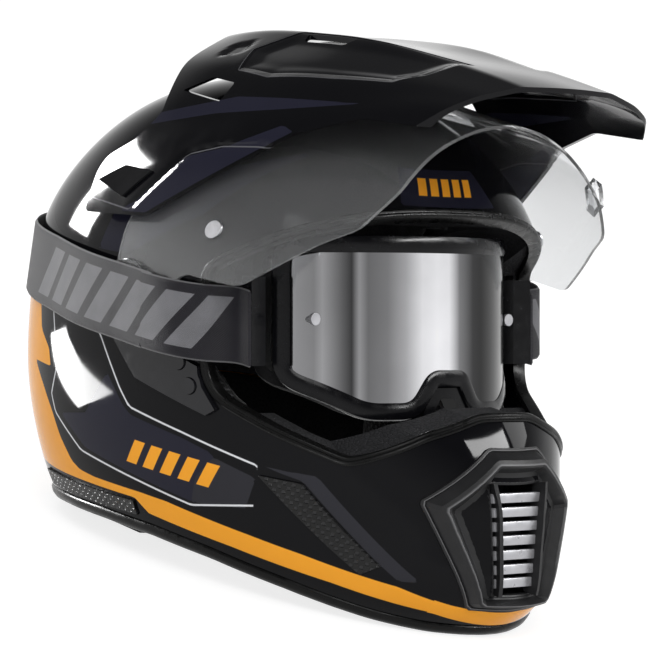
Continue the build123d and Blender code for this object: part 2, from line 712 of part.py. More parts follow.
def peak_arch(arch_shares, drop):
    """Points of one arch of the peak, lowered and narrowed by a length."""
    half = []
    for side_share, up_share in arch_shares:
        side = max(side_share * PEAK_HALF_WIDTH - drop * min(1.0, 2 * side_share), 0.0)
        up = up_share * PEAK_TOP - drop * max(0.0, 1.0 - side_share / 2)
        half.append((side, up))
    return [(-side, up) for side, up in reversed(half) if side > 0] + half


def peak_loft(filled, drop=0.0):
    """The arched wall of the peak, or all the space under its outer face, lowered by a length."""
    faces = []
    for forward_share, arch_shares in PEAK_SECTION_SHARES:
        outer = peak_arch(arch_shares, drop)
        if filled:
            low = outer[0][1] - OVERRUN
            edges = [Spline(*outer), Polyline(outer[-1], (outer[-1][0], low), (outer[0][0], low), outer[0])]
        else:
            inner = peak_arch(arch_shares, PEAK_WALL)
            edges = [Spline(*outer), Line(outer[-1], inner[-1]), Spline(*inner), Line(inner[0], outer[0])]
        place = Plane.XZ.offset(-along(forward_share * PEAK_FRONT_REACH))
        faces.append(place * make_face(edges))
    return loft(faces)


def make_peak():
    """The peak with its side wings, vents and screw bosses."""
    peak = peak_loft(False)
    for side in (-1, 1):
        inner = side * (shell_side(PEAK_AXIS_FORWARD, PEAK_AXIS_UP - PEAK_BOSS_RADIUS) + 2 * SEAT_GAP)
        boss = side_rod(PEAK_AXIS_FORWARD, PEAK_AXIS_UP, inner, side * PEAK_HALF_WIDTH, PEAK_BOSS_RADIUS)
        peak += boss & peak_loft(True, PEAK_WALL / 2)
        through = side * SHELL_HALF_WIDTH / 2
        hole_radius = PEAK_SCREW_RADIUS + RUN_GAP
        peak -= side_rod(PEAK_AXIS_FORWARD, PEAK_AXIS_UP, through, side * WIDE, hole_radius)
        seat = side * (PEAK_SCREW_SEAT - RUN_GAP)
        peak -= side_rod(PEAK_AXIS_FORWARD, PEAK_AXIS_UP, seat, side * WIDE, PEAK_SCREW_HEAD + RUN_GAP)
    side_points = scaled(PEAK_SIDE_SHARES, PEAK_FRONT_REACH, PEAK_TOP)
    peak &= side_prism(side_points, -WIDE, WIDE)
    plan = scaled(PEAK_PLAN_SHARES, PEAK_HALF_WIDTH, PEAK_FRONT_REACH)
    plan = plan + [(-side, forward) for side, forward in reversed(plan) if side > 0]
    peak &= plan_prism(plan, 0.0, PEAK_TOP + OVERRUN)
    side_vent = scaled(PEAK_SIDE_VENT_SHARES, PEAK_FRONT_REACH, PEAK_TOP)
    for side in (-1, 1):
        span = sorted((side * PEAK_HALF_WIDTH * PEAK_VENT_INNER_SHARE, side * WIDE))
        peak -= side_prism(side_vent, span[0], span[1])
        slot = scaled(PEAK_TOP_SLOT_SHARES, PEAK_HALF_WIDTH, PEAK_FRONT_REACH)
        slot = [(side * wide, long) for wide, long in slot]
        peak -= plan_prism(slot, PEAK_TOP - OVERRUN, PEAK_TOP + OVERRUN)
    return peak


def make_peak_screws():
    """The two side screws that the peak tilts about, set into its bosses."""
    inner = shell_side(PEAK_AXIS_FORWARD, PEAK_AXIS_UP) - 2 * SHELL_WALL
    shank = side_rod(PEAK_AXIS_FORWARD, PEAK_AXIS_UP, inner, PEAK_SCREW_SEAT, PEAK_SCREW_RADIUS)
    head_end = PEAK_SCREW_SEAT + PEAK_SCREW_HEAD_WALL
    head = side_rod(PEAK_AXIS_FORWARD, PEAK_AXIS_UP, PEAK_SCREW_SEAT, head_end, PEAK_SCREW_HEAD)
    return both_sides(shank + head)


def make_peak_cap():
    """The cap over the left screw of the peak, lying on the wing's outer face."""
    outline = side_prism(scaled(PEAK_CAP_SHARES, PEAK_FRONT_REACH, PEAK_TOP), SHELL_HALF_WIDTH / 2, WIDE)
    form = peak_loft(True)
    outer = (Location((PEAK_CAP_WALL + SEAT_GAP, 0, 0)) * form) & outline
    return outer - Location((SEAT_GAP, 0, 0)) * form


def make_vent_frame():
    """The raised frame round the chin intake."""
    frame = skin(VENT_PROUD) - HELMET["seat"]
    frame &= vent_prism(VENT_OUTLINE)
    return frame - vent_prism(VENT_MOUTH)


def make_vent_grille():
    """Slats and posts set back in the chin intake."""
    wall = skin(-VENT_GRILLE_DEPTH) - skin(-VENT_GRILLE_DEPTH - VENT_GRILLE_WALL)
    low, high = VENT_MOUTH[1][1], VENT_MOUTH[0][1]
    mouth = vent_prism(VENT_MOUTH, -SEAT_GAP)
    rim = mouth - vent_prism(VENT_MOUTH, -SEAT_GAP - VENT_SLAT)
    bars = solids_of(rim)
    pitch = (high - low) / VENT_SLAT_COUNT
    half = VENT_MOUTH[0][0]
    depth = (CHIN_EPS_BACK, FAR)
    thick, rise = VENT_SLAT / 2, VENT_SLAT_RISE / 2
    for count in range(1, VENT_SLAT_COUNT):
        up = low + pitch * count
        bars += solids_of(block(depth, (-half, half), (up - rise, up + rise)))
    for place in (-VENT_POST_SIDE, VENT_POST_SIDE):
        bars += solids_of(block(depth, (place - thick, place + thick), (low, high)))
    grille = bars[0]
    for bar in bars[1:]:
        grille += bar
    return grille & wall & mouth


def make_vent_shutter():
    """The plate that slides up and down behind the grille."""
    half = VENT_MOUTH[1][0] - 2 * VENT_SLAT
    low = VENT_MOUTH[1][1] + VENT_SLAT + VENT_SHUTTER_TRAVEL
    high = low + VENT_SHUTTER_HEIGHT
    reach = shell_front(half, high, -VENT_GRILLE_DEPTH - VENT_GRILLE_WALL) + SEAT_GAP
    plate = block((reach - VENT_SHUTTER_WALL, reach), (-half, half), (low, high))
    knob_up = low + VENT_SHUTTER_HEIGHT / 2
    knob = Plane.XZ.offset(-along(reach - VENT_SHUTTER_WALL - VENT_KNOB_LENGTH)) * Location((0, knob_up))
    plate += extrude(knob * Circle(VENT_KNOB_RADIUS), VENT_KNOB_LENGTH)
    return plate


def cover_on_shell(points, wall, corner=0.0):
    """A cover that lies on the left side of the shell inside a side view outline."""
    cover = skin(SEAT_GAP + wall) - HELMET["seat"]
    return cover & side_prism(points, SHELL_HALF_WIDTH / 4, WIDE, corner)


def make_side_plate():
    plate = cover_on_shell(SIDE_PLATE_POINTS, COVER_WALL)
    for forward, up in SIDE_PLATE_SCREWS:
        plate -= side_rod(forward, up, 0.0, WIDE, SIDE_SCREW_RADIUS + SEAT_GAP)
    return plate - eyeport_cutter(-LAYER_GAP)


def make_side_plate_screws():
    screws = []
    wall = skin(SEAT_GAP + COVER_WALL + SIDE_SCREW_WALL) - HELMET["seat"]
    for forward, up in SIDE_PLATE_SCREWS:
        rod = side_rod(forward, up, SHELL_HALF_WIDTH / 4, WIDE, SIDE_SCREW_RADIUS)
        screws += solids_of(wall & rod)
    return both_sides(Compound(children=screws))


def lens_outline(grow=0.0):
    """The lens seen from the front, grown outwards by a length."""
    half = LENS_HALF_WIDTH
    right = [
        (half, LENS_TOP), (half, LENS_SIDE_BASE), (LENS_CORNER_SHARE * half, LENS_BASE),
        (NOSE_HALF_WIDTH, LENS_BASE), (NOSE_TOP_HALF_WIDTH, LENS_BASE + NOSE_RISE),
    ]
    face = outline_face(right + [(-side, up) for side, up in reversed(right)])
    return offset(face, amount=grow) if grow else face


def goggle_tube(outer, inner=0.0):
    """An upright tube about the lens's centre line."""
    low, high = LENS_BASE - OVERRUN, LENS_TOP + OVERRUN
    ring = Circle(outer)
    if inner > 0:
        ring -= Circle(inner)
    return extrude(Location((0, -LENS_CENTRE, low)) * ring, high - low)


def goggle_ring(inner, outer, grow):
    """A curved band of the goggles between two radii, inside the grown lens outline."""
    tube = goggle_tube(outer, inner)
    window = extrude(Plane.XZ.offset(LENS_CENTRE) * lens_outline(grow), LENS_RADIUS + OVERRUN)
    return tube & window


def lean_goggles(piece):
    """Lean an upright goggle piece back and put it in its place."""
    leaned = piece.rotate(Axis.X, -GOGGLE_LEAN)
    return Location((0, MID_REACH, 0)) * leaned


def make_goggle_frame():
    lens_space = goggle_ring(LENS_RADIUS - SEAT_GAP, LENS_RADIUS + OVERRUN, SEAT_GAP)
    frame = goggle_ring(FRAME_INNER_RADIUS, LENS_RADIUS + FRAME_PROUD, FRAME_BORDER)
    frame -= lens_space
    frame -= goggle_ring(FOAM_INNER_RADIUS, LENS_RADIUS + OVERRUN, -LENS_BITE)
    return lean_goggles(frame)


def make_goggle_lens():
    return lean_goggles(goggle_ring(LENS_RADIUS, LENS_RADIUS + LENS_WALL, 0.0))


def make_goggle_foam():
    foam = goggle_ring(FOAM_INNER_RADIUS, FRAME_INNER_RADIUS - SEAT_GAP, FRAME_BORDER - LENS_BITE)
    foam -= goggle_ring(FOAM_INNER_RADIUS - LENS_BITE, LENS_RADIUS, -LENS_BITE)
    return lean_goggles(foam)


def make_nose_guard():
    """The soft guard below the nose notch of the frame."""
    guard = goggle_ring(FRAME_INNER_RADIUS, LENS_RADIUS, FRAME_BORDER + 2 * LENS_BITE)
    guard -= goggle_ring(FOAM_INNER_RADIUS, LENS_RADIUS + OVERRUN, FRAME_BORDER + SEAT_GAP)
    half = NOSE_HALF_WIDTH - FRAME_BORDER
    keep = extrude(
        Plane.XZ.offset(LENS_CENTRE) * Location((0, LENS_BASE)) * Rectangle(2 * half, 2 * NOSE_RISE),
        LENS_RADIUS,
    )
    return lean_goggles(guard & keep)


def make_outrigger():
    """The left arm that carries the goggle strap past the eyeport's edge."""
    points = [(side, -forward) for side, forward in OUTRIGGER_POINTS]
    low, high = OUTRIGGER_UP
    arm = extrude(Plane.XY.offset(low) * outline_face(points), high - low)
    return lean_goggles(arm)


def make_tear_off_posts():
    """Small headed posts on the front of the frame's sides."""
    posts = []
    for side, up in POST_PLACES:
        outer = LENS_CENTRE + math.sqrt((LENS_RADIUS + LENS_WALL) ** 2 - side ** 2) + SEAT_GAP
        stem = Plane.XZ.offset(outer - POST_LENGTH) * Location((side, up)) * Circle(POST_RADIUS)
        head = Plane.XZ.offset(outer + POST_LENGTH / 2) * Location((side, up)) * Circle(POST_HEAD_RADIUS)
        post = extrude(stem, 3 * POST_LENGTH / 2) + extrude(head, POST_LENGTH / 2)
        post -= goggle_tube(LENS_RADIUS + LENS_WALL + SEAT_GAP)
        posts += solids_of(post)
    pair = both_sides(Compound(children=posts))
    return lean_goggles(pair)


def strap_offset(forward):
    """How far the strap's middle stands off the shell: wide at the hubs, near at the back."""
    part = min(max((PIVOT_FORWARD - HUB_RADIUS - forward) / STRAP_SPREAD, 0.0), 1.0)
    ease = part * part * (3 - 2 * part)
    return STRAP_WIDE_OFFSET + (STRAP_NEAR_OFFSET - STRAP_WIDE_OFFSET) * ease


def strap_line(shift):
    """Plan points of the strap, from the left round the back to the right."""
    _, half_width, front, rear, front_round, rear_round = row_at(STRAP_ROW_UP, 0.0)
    waist = SHELL_WAIST_BACK
    start = math.acos(((STRAP_FRONT + waist) / (front + waist)) ** (front_round / 2))
    points = []
    for step in range(STRAP_POINTS):
        turn = start + (2 * math.pi - 2 * start) * step / (STRAP_POINTS - 1)
        lean, across = math.cos(turn), math.sin(turn)
        power = 2 / (front_round if lean >= 0 else rear_round)
        reach = front if lean >= 0 else rear
        away = waist if lean >= 0 else -waist
        forward = math.copysign(abs(lean) ** power, lean) * (reach + away) - waist
        grow = strap_offset(forward) + shift
        side = math.copysign(abs(across) ** power, across) * (half_width + grow)
        if forward > PIVOT_FORWARD - HUB_RADIUS:
            hub_face = HUB_INNER + HUB_WALL + STRAP_HUB_GAP + STRAP_WALL / 2 + shift
            side = math.copysign(max(abs(side), hub_face), side)
        if lean < 0:
            forward = -((-lean) ** power) * (reach + away + grow) - waist
        points.append((side, along(forward)))
    return points


def strap_slab(forward_from, forward_to):
    """The side view band that the strap fills between two forward places."""
    span = STRAP_FRONT + SHELL_REAR_REACH
    slope = (STRAP_UP_FRONT - STRAP_UP_REAR) / span
    low = STRAP_UP_FRONT - slope * (STRAP_FRONT - forward_from)
    high = STRAP_UP_FRONT - slope * (STRAP_FRONT - forward_to)
    half = STRAP_HEIGHT / 2
    points = [
        (forward_from, low - half), (forward_to, high - half),
        (forward_to, high + half), (forward_from, low + half),
    ]
    return side_prism(points, -WIDE, WIDE)


def make_goggle_strap():
    """The elastic strap round the back of the shell, up to the shield's arms."""
    outer = strap_line(STRAP_WALL / 2)
    inner = strap_line(-STRAP_WALL / 2)
    edges = [Spline(*outer), Line(outer[-1], inner[-1]), Spline(*inner), Line(inner[0], outer[0])]
    band = extrude(Plane.XY * make_face(edges), TALL)
    return band & strap_slab(-FAR, FAR)


def ribbon(points, wall):
    """Outline of a band of even thickness along a line of points."""
    near, far = [], []
    last = len(points) - 1
    for number, (across, forward) in enumerate(points):
        ways = []
        for start, end in ((number - 1, number), (number, number + 1)):
            if start >= 0 and end <= last:
                step = (points[end][0] - points[start][0], points[end][1] - points[start][1])
                ways.append((step[0] / math.hypot(*step), step[1] / math.hypot(*step)))
        mean = (ways[0][0] + ways[-1][0], ways[0][1] + ways[-1][1])
        normal = (-mean[1] / math.hypot(*mean), mean[0] / math.hypot(*mean))
        reach = wall / 2 / (normal[1] * ways[0][0] - normal[0] * ways[0][1])
        near.append((across + normal[0] * reach, forward + normal[1] * reach))
        far.append((across - normal[0] * reach, forward - normal[1] * reach))
    return near + far[::-1]


def make_strap_front():
    """The left stretch of the strap from the shield's arm forward to the outrigger."""
    side = strap_line(0.0)[0][0]
    path = list(STRAP_FRONT_POINTS) + [(side, STRAP_BEND_FORWARD), (side, 0.0)]
    outline = [(across, -forward) for across, forward in ribbon(path, STRAP_WALL)]
    band = lean_goggles(extrude(outline_face(outline), TALL))
    band &= block((STRAP_FRONT + SEAT_GAP, FAR), (0.0, WIDE), (0.0, TALL))
    return band & strap_slab(-FAR, FAR)


def make_strap_slider():
    """The adjusting slider that lies on the strap behind the left hub."""
    outer = strap_line(STRAP_WALL / 2 + SEAT_GAP + SLIDER_WALL)
    inner = strap_line(STRAP_WALL / 2 + SEAT_GAP)
    edges = [Spline(*outer), Line(outer[-1], inner[-1]), Spline(*inner), Line(inner[0], outer[0])]
    band = extrude(Plane.XY * make_face(edges), TALL)
    band &= strap_slab(-FAR, FAR)
    half = SLIDER_WIDTH / 2
    return band & block((SLIDER_FORWARD - half, SLIDER_FORWARD + half), (0.0, WIDE), (0.0, TALL))


def main():
    os.makedirs("parts", exist_ok=True)
    eyeport = eyeport_cutter()
    pieces = {
        "outer_shell": make_outer_shell(eyeport),
        "rear_exhausts": make_rear_exhausts(),
        "rim_trim": make_rim_trim(),
        "eyeport_trim": make_eyeport_trim(),
        "eps_liner": make_eps_liner(eyeport),
        "comfort_liner": make_comfort_liner(eyeport),
        "chin_eps": make_chin_eps(),
        "chin_liner": make_chin_liner(),
        "neck_roll": make_neck_roll(),
        "chin_rings": make_chin_rings(),
        "strap_rivets": both_sides(make_strap_rivets()),
        "face_shield": make_face_shield(),
        "shield_tab": make_shield_tab(),
        "shield_pins": make_shield_pins(),
        "pivot_screws": both_sides(make_pivot_screw()),
        "peak": make_peak(),
        "peak_screws": make_peak_screws(),
        "chin_vent_frame": make_vent_frame(),
        "chin_vent_grille": make_vent_grille(),
        "chin_vent_shutter": make_vent_shutter(),
        "side_plate_screws": make_side_plate_screws(),
        "goggle_frame": make_goggle_frame(),
        "goggle_lens": make_goggle_lens(),
        "goggle_foam": make_goggle_foam(),
        "nose_guard": make_nose_guard(),
        "tear_off_posts": make_tear_off_posts(),
        "goggle_strap": make_goggle_strap(),
        "strap_slider": make_strap_slider(),
    }
    paired = {
        "cheek_pad": make_cheek_pad(),
        "chin_strap": make_webbing(),
        "pivot_plate": make_pivot_plate(),
        "side_plate": make_side_plate(),
        "peak_cap": make_peak_cap(),
        "chin_side_vent": cover_on_shell(CHIN_SIDE_VENT_POINTS, COVER_WALL / 2),
        "rear_side_vent": cover_on_shell(REAR_VENT_POINTS, COVER_WALL / 2),
        "outrigger": make_outrigger(),
        "strap_front": make_strap_front(),
    }
    for name, left in paired.items():
        pieces[name + "_left"] = left
        pieces[name + "_right"] = left.mirror(Plane.YZ)
    for name, piece in pieces.items():
        export_step(Compound(children=solids_of(piece)), os.path.join("parts", name + ".step"))


main()
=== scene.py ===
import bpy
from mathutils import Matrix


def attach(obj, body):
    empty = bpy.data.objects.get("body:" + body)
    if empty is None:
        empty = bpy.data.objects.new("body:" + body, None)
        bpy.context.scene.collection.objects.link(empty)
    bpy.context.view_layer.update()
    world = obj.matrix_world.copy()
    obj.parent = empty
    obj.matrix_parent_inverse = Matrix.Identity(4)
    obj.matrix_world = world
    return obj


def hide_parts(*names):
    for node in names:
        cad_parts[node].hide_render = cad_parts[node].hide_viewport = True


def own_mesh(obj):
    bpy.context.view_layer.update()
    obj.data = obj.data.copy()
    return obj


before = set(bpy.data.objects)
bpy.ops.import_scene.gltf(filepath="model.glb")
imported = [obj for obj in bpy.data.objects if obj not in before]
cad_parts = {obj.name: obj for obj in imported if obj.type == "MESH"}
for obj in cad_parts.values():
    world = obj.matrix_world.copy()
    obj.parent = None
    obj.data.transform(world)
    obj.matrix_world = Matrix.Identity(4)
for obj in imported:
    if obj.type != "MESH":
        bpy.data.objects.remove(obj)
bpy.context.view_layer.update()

import math

import bmesh
import bpy
import numpy as np
from mathutils import Matrix, Vector

# Sizes are in mm, with forward, side and up measured as in the part, and turned to metres at the end
MM = 0.001
MID_REACH = 22.7
SHELL_HALF_WIDTH = 127
SHELL_HEIGHT = 258
SHELL_FRONT_REACH = 193
SHELL_REAR_REACH = 152
SHELL_WAIST_BACK = 8
SHELL_WALL = 4
SECTION_POINTS = 16
# Sections of the shell's form: shares of height, half width, front and rear reach, then both roundnesses
SHELL_SHARES = np.array((
    (0.000, 0.790, 0.930, 0.750, 1.90, 2.3), (0.066, 0.866, 0.995, 0.830, 1.90, 2.3),
    (0.174, 0.937, 0.993, 0.914, 1.86, 2.4), (0.290, 0.976, 0.964, 0.967, 1.82, 2.5),
    (0.388, 0.992, 0.907, 0.993, 1.86, 2.5), (0.504, 1.000, 0.803, 1.000, 2.00, 2.5),
    (0.620, 0.984, 0.705, 0.974, 2.20, 2.5), (0.717, 0.937, 0.627, 0.908, 2.30, 2.4),
    (0.814, 0.835, 0.539, 0.796, 2.30, 2.3), (0.899, 0.677, 0.425, 0.638, 2.20, 2.2),
    (0.961, 0.449, 0.280, 0.421, 2.10, 2.1), (0.988, 0.252, 0.160, 0.240, 2.00, 2.0),
    (1.000, 0.110, 0.072, 0.104, 2.00, 2.0),
))
FAR = 300
MIDDLE_UP = 120
CAMERA_TURN = math.radians(42)
CAMERA_TIP = math.radians(13)
CAMERA_PLACE = (-1175.5, MID_REACH - 1303.2, 417.2)
CAMERA_LENS = 173.6


def new_object(name, data):
    made = bpy.data.objects.new(name, data)
    bpy.context.scene.collection.objects.link(made)
    return made


def place_camera():
    """Camera at the photograph's place."""
    camera = new_object("camera", bpy.data.cameras.new("camera"))
    level = math.cos(CAMERA_TURN)
    look = Vector((math.sin(CAMERA_TURN), level * math.cos(CAMERA_TIP), -level * math.sin(CAMERA_TIP)))
    up = Vector((0.0, math.sin(CAMERA_TIP), math.cos(CAMERA_TIP)))
    camera.matrix_world = Matrix((look.cross(up), up, -look)).transposed().to_4x4()
    camera.location = Vector(CAMERA_PLACE) * MM
    camera.data.lens = CAMERA_LENS
    camera.data.sensor_width = 36.0
    camera.data.clip_end = 50.0
    bpy.context.scene.camera = camera


# Curves and surfaces
def eased(value):
    """A share from zero to one with a soft start and end."""
    share = np.clip(value, 0, 1)
    return share * share * (3 - 2 * share)


def walked(points):
    """Distance of each point along its line."""
    return np.concatenate([[0.0], np.cumsum(np.linalg.norm(np.diff(points, axis=0), axis=1))])


def places_along(line, measure, where):
    """Places on a line where a measure that rises along it has given values."""
    return np.stack([np.interp(where, measure, row) for row in line.T], axis=-1)


def unit(ways):
    return ways / (np.linalg.norm(ways, axis=-1, keepdims=True) + 1e-9)


def bend_rates(points, knots, closed):
    """Second derivatives of a smooth curve through the points, at its knots."""
    steps = np.diff(knots)
    count = len(points)
    matrix = np.zeros((count, count))
    right = np.zeros(points.shape)
    slopes = np.diff(points, axis=0) / steps.reshape((-1,) + (1,) * (points.ndim - 1))
    for i in range(1, count - 1):
        matrix[i, i - 1:i + 2] = steps[i - 1], 2 * (steps[i - 1] + steps[i]), steps[i]
        right[i] = 6 * (slopes[i] - slopes[i - 1])
    matrix[0, 0] = matrix[-1, -1] = 1.0
    if closed:
        matrix[0, -1] = -1.0
        matrix[-1, [0, 1, -2, -1]] = 2 * steps[0], steps[0], steps[-1], 2 * steps[-1]
        right[-1] = 6 * (slopes[0] - slopes[-1])
    return np.linalg.solve(matrix, right.reshape(count, -1)).reshape(points.shape)


def smooth_curve(points, where, closed=False, knots=None):
    """Places on a smooth curve through the points, at shares of its length."""
    points = np.array(points, float)
    if closed:
        points = np.concatenate([points, points[:1]])
    if knots is None:
        knots = walked(points)
    rates = bend_rates(points, knots, closed)
    at = np.asarray(where) * knots[-1]
    left = np.clip(np.searchsorted(knots, at, "right") - 1, 0, len(knots) - 2)
    shape = (-1,) + (1,) * (points.ndim - 1)
    step = (knots[left + 1] - knots[left]).reshape(shape)
    after = ((at - knots[left]).reshape(shape)) / step
    before = 1 - after
    return (
        before * points[left] + after * points[left + 1]
        + ((before ** 3 - before) * rates[left] + (after ** 3 - after) * rates[left + 1]) * step ** 2 / 6
    )


def through(lines, rows):
    """Rows of points on a smooth surface through lines of points."""
    lines = np.array(lines)
    gaps = np.linalg.norm(np.diff(lines, axis=0), axis=2).mean(axis=1)
    return smooth_curve(lines, np.linspace(0, 1, rows), knots=np.concatenate([[0.0], np.cumsum(gaps)]))


def row_sizes(share, grow):
    """Sizes of the shell's form at a share of its height, moved outwards by a length."""
    wide, front, rear, *rounds = (np.interp(share, SHELL_SHARES[:, 0], row) for row in SHELL_SHARES.T[1:])
    return (wide * SHELL_HALF_WIDTH + grow, front * SHELL_FRONT_REACH + grow, rear * SHELL_REAR_REACH + grow,
            *rounds)


def section_point(turn, half_width, front, rear, front_round, rear_round):
    """Side place and Y place of a rounded section, at a turn from the front centre line."""
    lean, across = math.cos(turn), math.sin(turn)
    power = 2 / (front_round if lean >= 0 else rear_round)
    reach = front + SHELL_WAIST_BACK if lean >= 0 else rear - SHELL_WAIST_BACK
    forward = math.copysign(abs(lean) ** power, lean) * reach - SHELL_WAIST_BACK
    return math.copysign(abs(across) ** power, across) * half_width, MID_REACH - forward


def skin_grid(grow, columns, rows):
    """Points on the shell's form moved outwards by a length: rows upwards, columns round it."""
    lines = []
    for up in SHELL_SHARES[:, 0]:
        turns = 2 * math.pi * np.arange(SECTION_POINTS) / SECTION_POINTS
        ring = [(*section_point(turn, *row_sizes(up, grow)), up * (SHELL_HEIGHT + grow)) for turn in turns]
        lines.append(smooth_curve(ring, np.arange(columns) / columns, True))
    return through(lines, rows)


SKIN = skin_grid(0, 720, 500)


def skin_at(column, up):
    """Places on the shell's form at column shares and heights."""
    column = np.asarray(column, float) % 1.0 * SKIN.shape[1]
    low = np.floor(column).astype(int)
    found = []
    for i, height, mix in zip(low, np.asarray(up, float), (column - low)[:, None]):
        pair = (SKIN[:, i], SKIN[:, (i + 1) % SKIN.shape[1]])
        first, second = (places_along(line, line[:, 2], height) for line in pair)
        found.append(first * (1 - mix) + second * mix)
    return np.array(found)


def skin_normals(points):
    """Outward directions of the shell's form at places near it."""
    normals = unit(np.cross(np.roll(SKIN, -1, 1) - np.roll(SKIN, 1, 1), np.gradient(SKIN, axis=0)))
    flat, ways = SKIN[::4, ::3].reshape(-1, 3), normals[::4, ::3].reshape(-1, 3)
    found = np.array([ways[np.argmin(((flat - p) ** 2).sum(1))] for p in points])
    outward = points - np.array([0.0, MID_REACH, MIDDLE_UP])
    return found * np.sign((found * outward).sum(1, keepdims=True))


def front_points(side_up, grow=0.0):
    """Places on the front of the shell's form, from side and up places."""
    found = []
    for side, up in side_up:
        line = SKIN[np.argmin(np.abs(SKIN[:, 0, 2] - up)), :SKIN.shape[1] // 4]
        found.append((side, np.interp(abs(side), line[:, 0], line[:, 1]), up))
    found = np.array(found)
    return found + grow * skin_normals(found)


def rounded(points, radius, steps=5):
    """An outline with its corners rounded."""
    points = np.array(points, float)
    found = []
    for before, corner, after in zip(np.roll(points, 1, 0), points, np.roll(points, -1, 0)):
        to_before, to_after = before - corner, after - corner
        long_before, long_after = np.linalg.norm(to_before), np.linalg.norm(to_after)
        cut = min(radius, 0.45 * long_before, 0.45 * long_after)
        start, end = corner + to_before / long_before * cut, corner + to_after / long_after * cut
        for share in np.linspace(0, 1, steps):
            found.append((1 - share) ** 2 * start + 2 * share * (1 - share) * corner + share ** 2 * end)
    return np.array(found)


def even(points, count, closed=True):
    """The same line with evenly spaced points."""
    points = np.array(points, float)
    if closed:
        points = np.concatenate([points, points[:1]])
    gaps = walked(points)
    return places_along(points, gaps, np.linspace(0, gaps[-1], count, endpoint=not closed))


def smooth_round(line, count):
    """Even out a closed line of points by averaging neighbours."""
    for _ in range(count):
        line = (np.roll(line, 1, 0) + 2 * line + np.roll(line, -1, 0)) / 4
    return line


def mirror_outline(points):
    """A whole outline from its left half."""
    return list(points) + [(-side, up) for side, up in reversed(points) if side > 0]


def edge_distance(points, starts, ends):
    """Distance from points to the nearest of some straight edges."""
    best = np.full(len(points), 1e9)
    for a, b in zip(starts, ends):
        edge = b - a
        share = np.clip(((points - a) @ edge) / (edge @ edge), 0, 1)
        best = np.minimum(best, np.linalg.norm(points - a - share[:, None] * edge, axis=1))
    return best


def inside_distance(points, outline):
    """Distance from points to an outline's edge, positive inside it."""
    starts = np.array(outline, float)
    ends = np.roll(starts, -1, 0)
    inside = np.zeros(len(points), bool)
    for a, b in zip(starts, ends):
        crosses = (a[1] > points[:, 1]) != (b[1] > points[:, 1])
        tall = b[1] - a[1] if abs(b[1] - a[1]) > 1e-9 else 1e-9
        inside ^= crosses & (points[:, 0] < (b[0] - a[0]) * (points[:, 1] - a[1]) / tall + a[0])
    best = edge_distance(points, starts, ends)
    return np.where(inside, best, -best)


# Meshes
def add_mesh(name, points, faces):
    mesh = bpy.data.meshes.new(name)
    mesh.from_pydata((np.array(points, float) * MM).tolist(), [], faces)
    mesh.validate()
    return new_object(name, mesh)


def edit(piece, work):
    """Change a piece's mesh with mesh tools."""
    cage = bmesh.new()
    cage.from_mesh(piece.data)
    work(cage)
    cage.to_mesh(piece.data)
    cage.free()
    piece.data.update()


def face_out(piece):
    edit(piece, lambda cage: bmesh.ops.recalc_face_normals(cage, faces=cage.faces))


def grid_piece(name, grid, round_columns=True, round_rows=False, caps=False):
    """A mesh over a grid of points, its rows and columns closed into rings or left open."""
    grid = np.array(grid, float)
    rows, columns = grid.shape[:2]
    faces = []
    for i in range(rows if round_rows else rows - 1):
        here, there = i * columns, (i + 1) % rows * columns
        for j in range(columns if round_columns else columns - 1):
            after = (j + 1) % columns
            faces.append((here + j, here + after, there + after, there + j))
    if caps:
        faces.append(tuple(range(columns))[::-1])
        faces.append(tuple(range((rows - 1) * columns, rows * columns)))
    piece = add_mesh(name, grid.reshape(-1, 3), faces)
    if round_columns:
        face_out(piece)
    return piece


def settle(piece):
    """Turn what a piece's modifiers give into its plain mesh."""
    bpy.context.view_layer.update()
    graph = bpy.context.evaluated_depsgraph_get()
    mesh = bpy.data.meshes.new_from_object(piece.evaluated_get(graph))
    piece.modifiers.clear()
    old = piece.data
    piece.data = mesh
    bpy.data.meshes.remove(old)


def modify(piece, kind, **settings):
    change = piece.modifiers.new(kind.lower(), kind)
    for key, value in settings.items():
        setattr(change, key, value)
    settle(piece)


def carve(piece, cutter, how="DIFFERENCE"):
    modify(piece, "BOOLEAN", object=cutter, operation=how, solver="EXACT")
    bpy.data.objects.remove(cutter)


def join(pieces, name):
    """One piece from several, in place."""
    points, faces = [], []
    for mesh in [piece.data for piece in pieces]:
        start = len(points)
        points += [tuple(v.co / MM) for v in mesh.vertices]
        faces += [tuple(start + i for i in face.vertices) for face in mesh.polygons]
    whole = add_mesh(name, points, faces)
    for piece in pieces:
        bpy.data.objects.remove(piece)
    return whole


def prism(outline, view, low, high):
    """A solid from a side, front or plan outline, between two lengths across it."""
    place = {
        "side": lambda a, b, reach: (reach, MID_REACH - a, b),
        "front": lambda a, b, reach: (a, MID_REACH - reach, b),
        "plan": lambda a, b, reach: (a, MID_REACH - b, reach),
    }[view]
    return grid_piece("prism", [[place(a, b, reach) for a, b in outline] for reach in (low, high)], caps=True)


def sweep(name, line, outward, profile, closed=True):
    """A profile carried along a line: its first size lies across the line, its second outwards."""
    line, outward = np.array(line, float), np.array(outward, float)
    along = unit(np.roll(line, -1, 0) - np.roll(line, 1, 0) if closed else np.gradient(line, axis=0))
    outward = unit(outward - (outward * along).sum(1, keepdims=True) * along)
    across = np.cross(along, outward)
    grid = np.array([line + a * across + b * outward for a, b in profile])
    return grid_piece(name, np.transpose(grid, (1, 0, 2)), True, closed, not closed)


def mirrored(piece, name):
    """The same piece on the other side."""
    mesh = piece.data.copy()
    mesh.transform(Matrix.Scale(-1, 4, Vector((1, 0, 0))))
    mesh.flip_normals()
    return new_object(name, mesh)


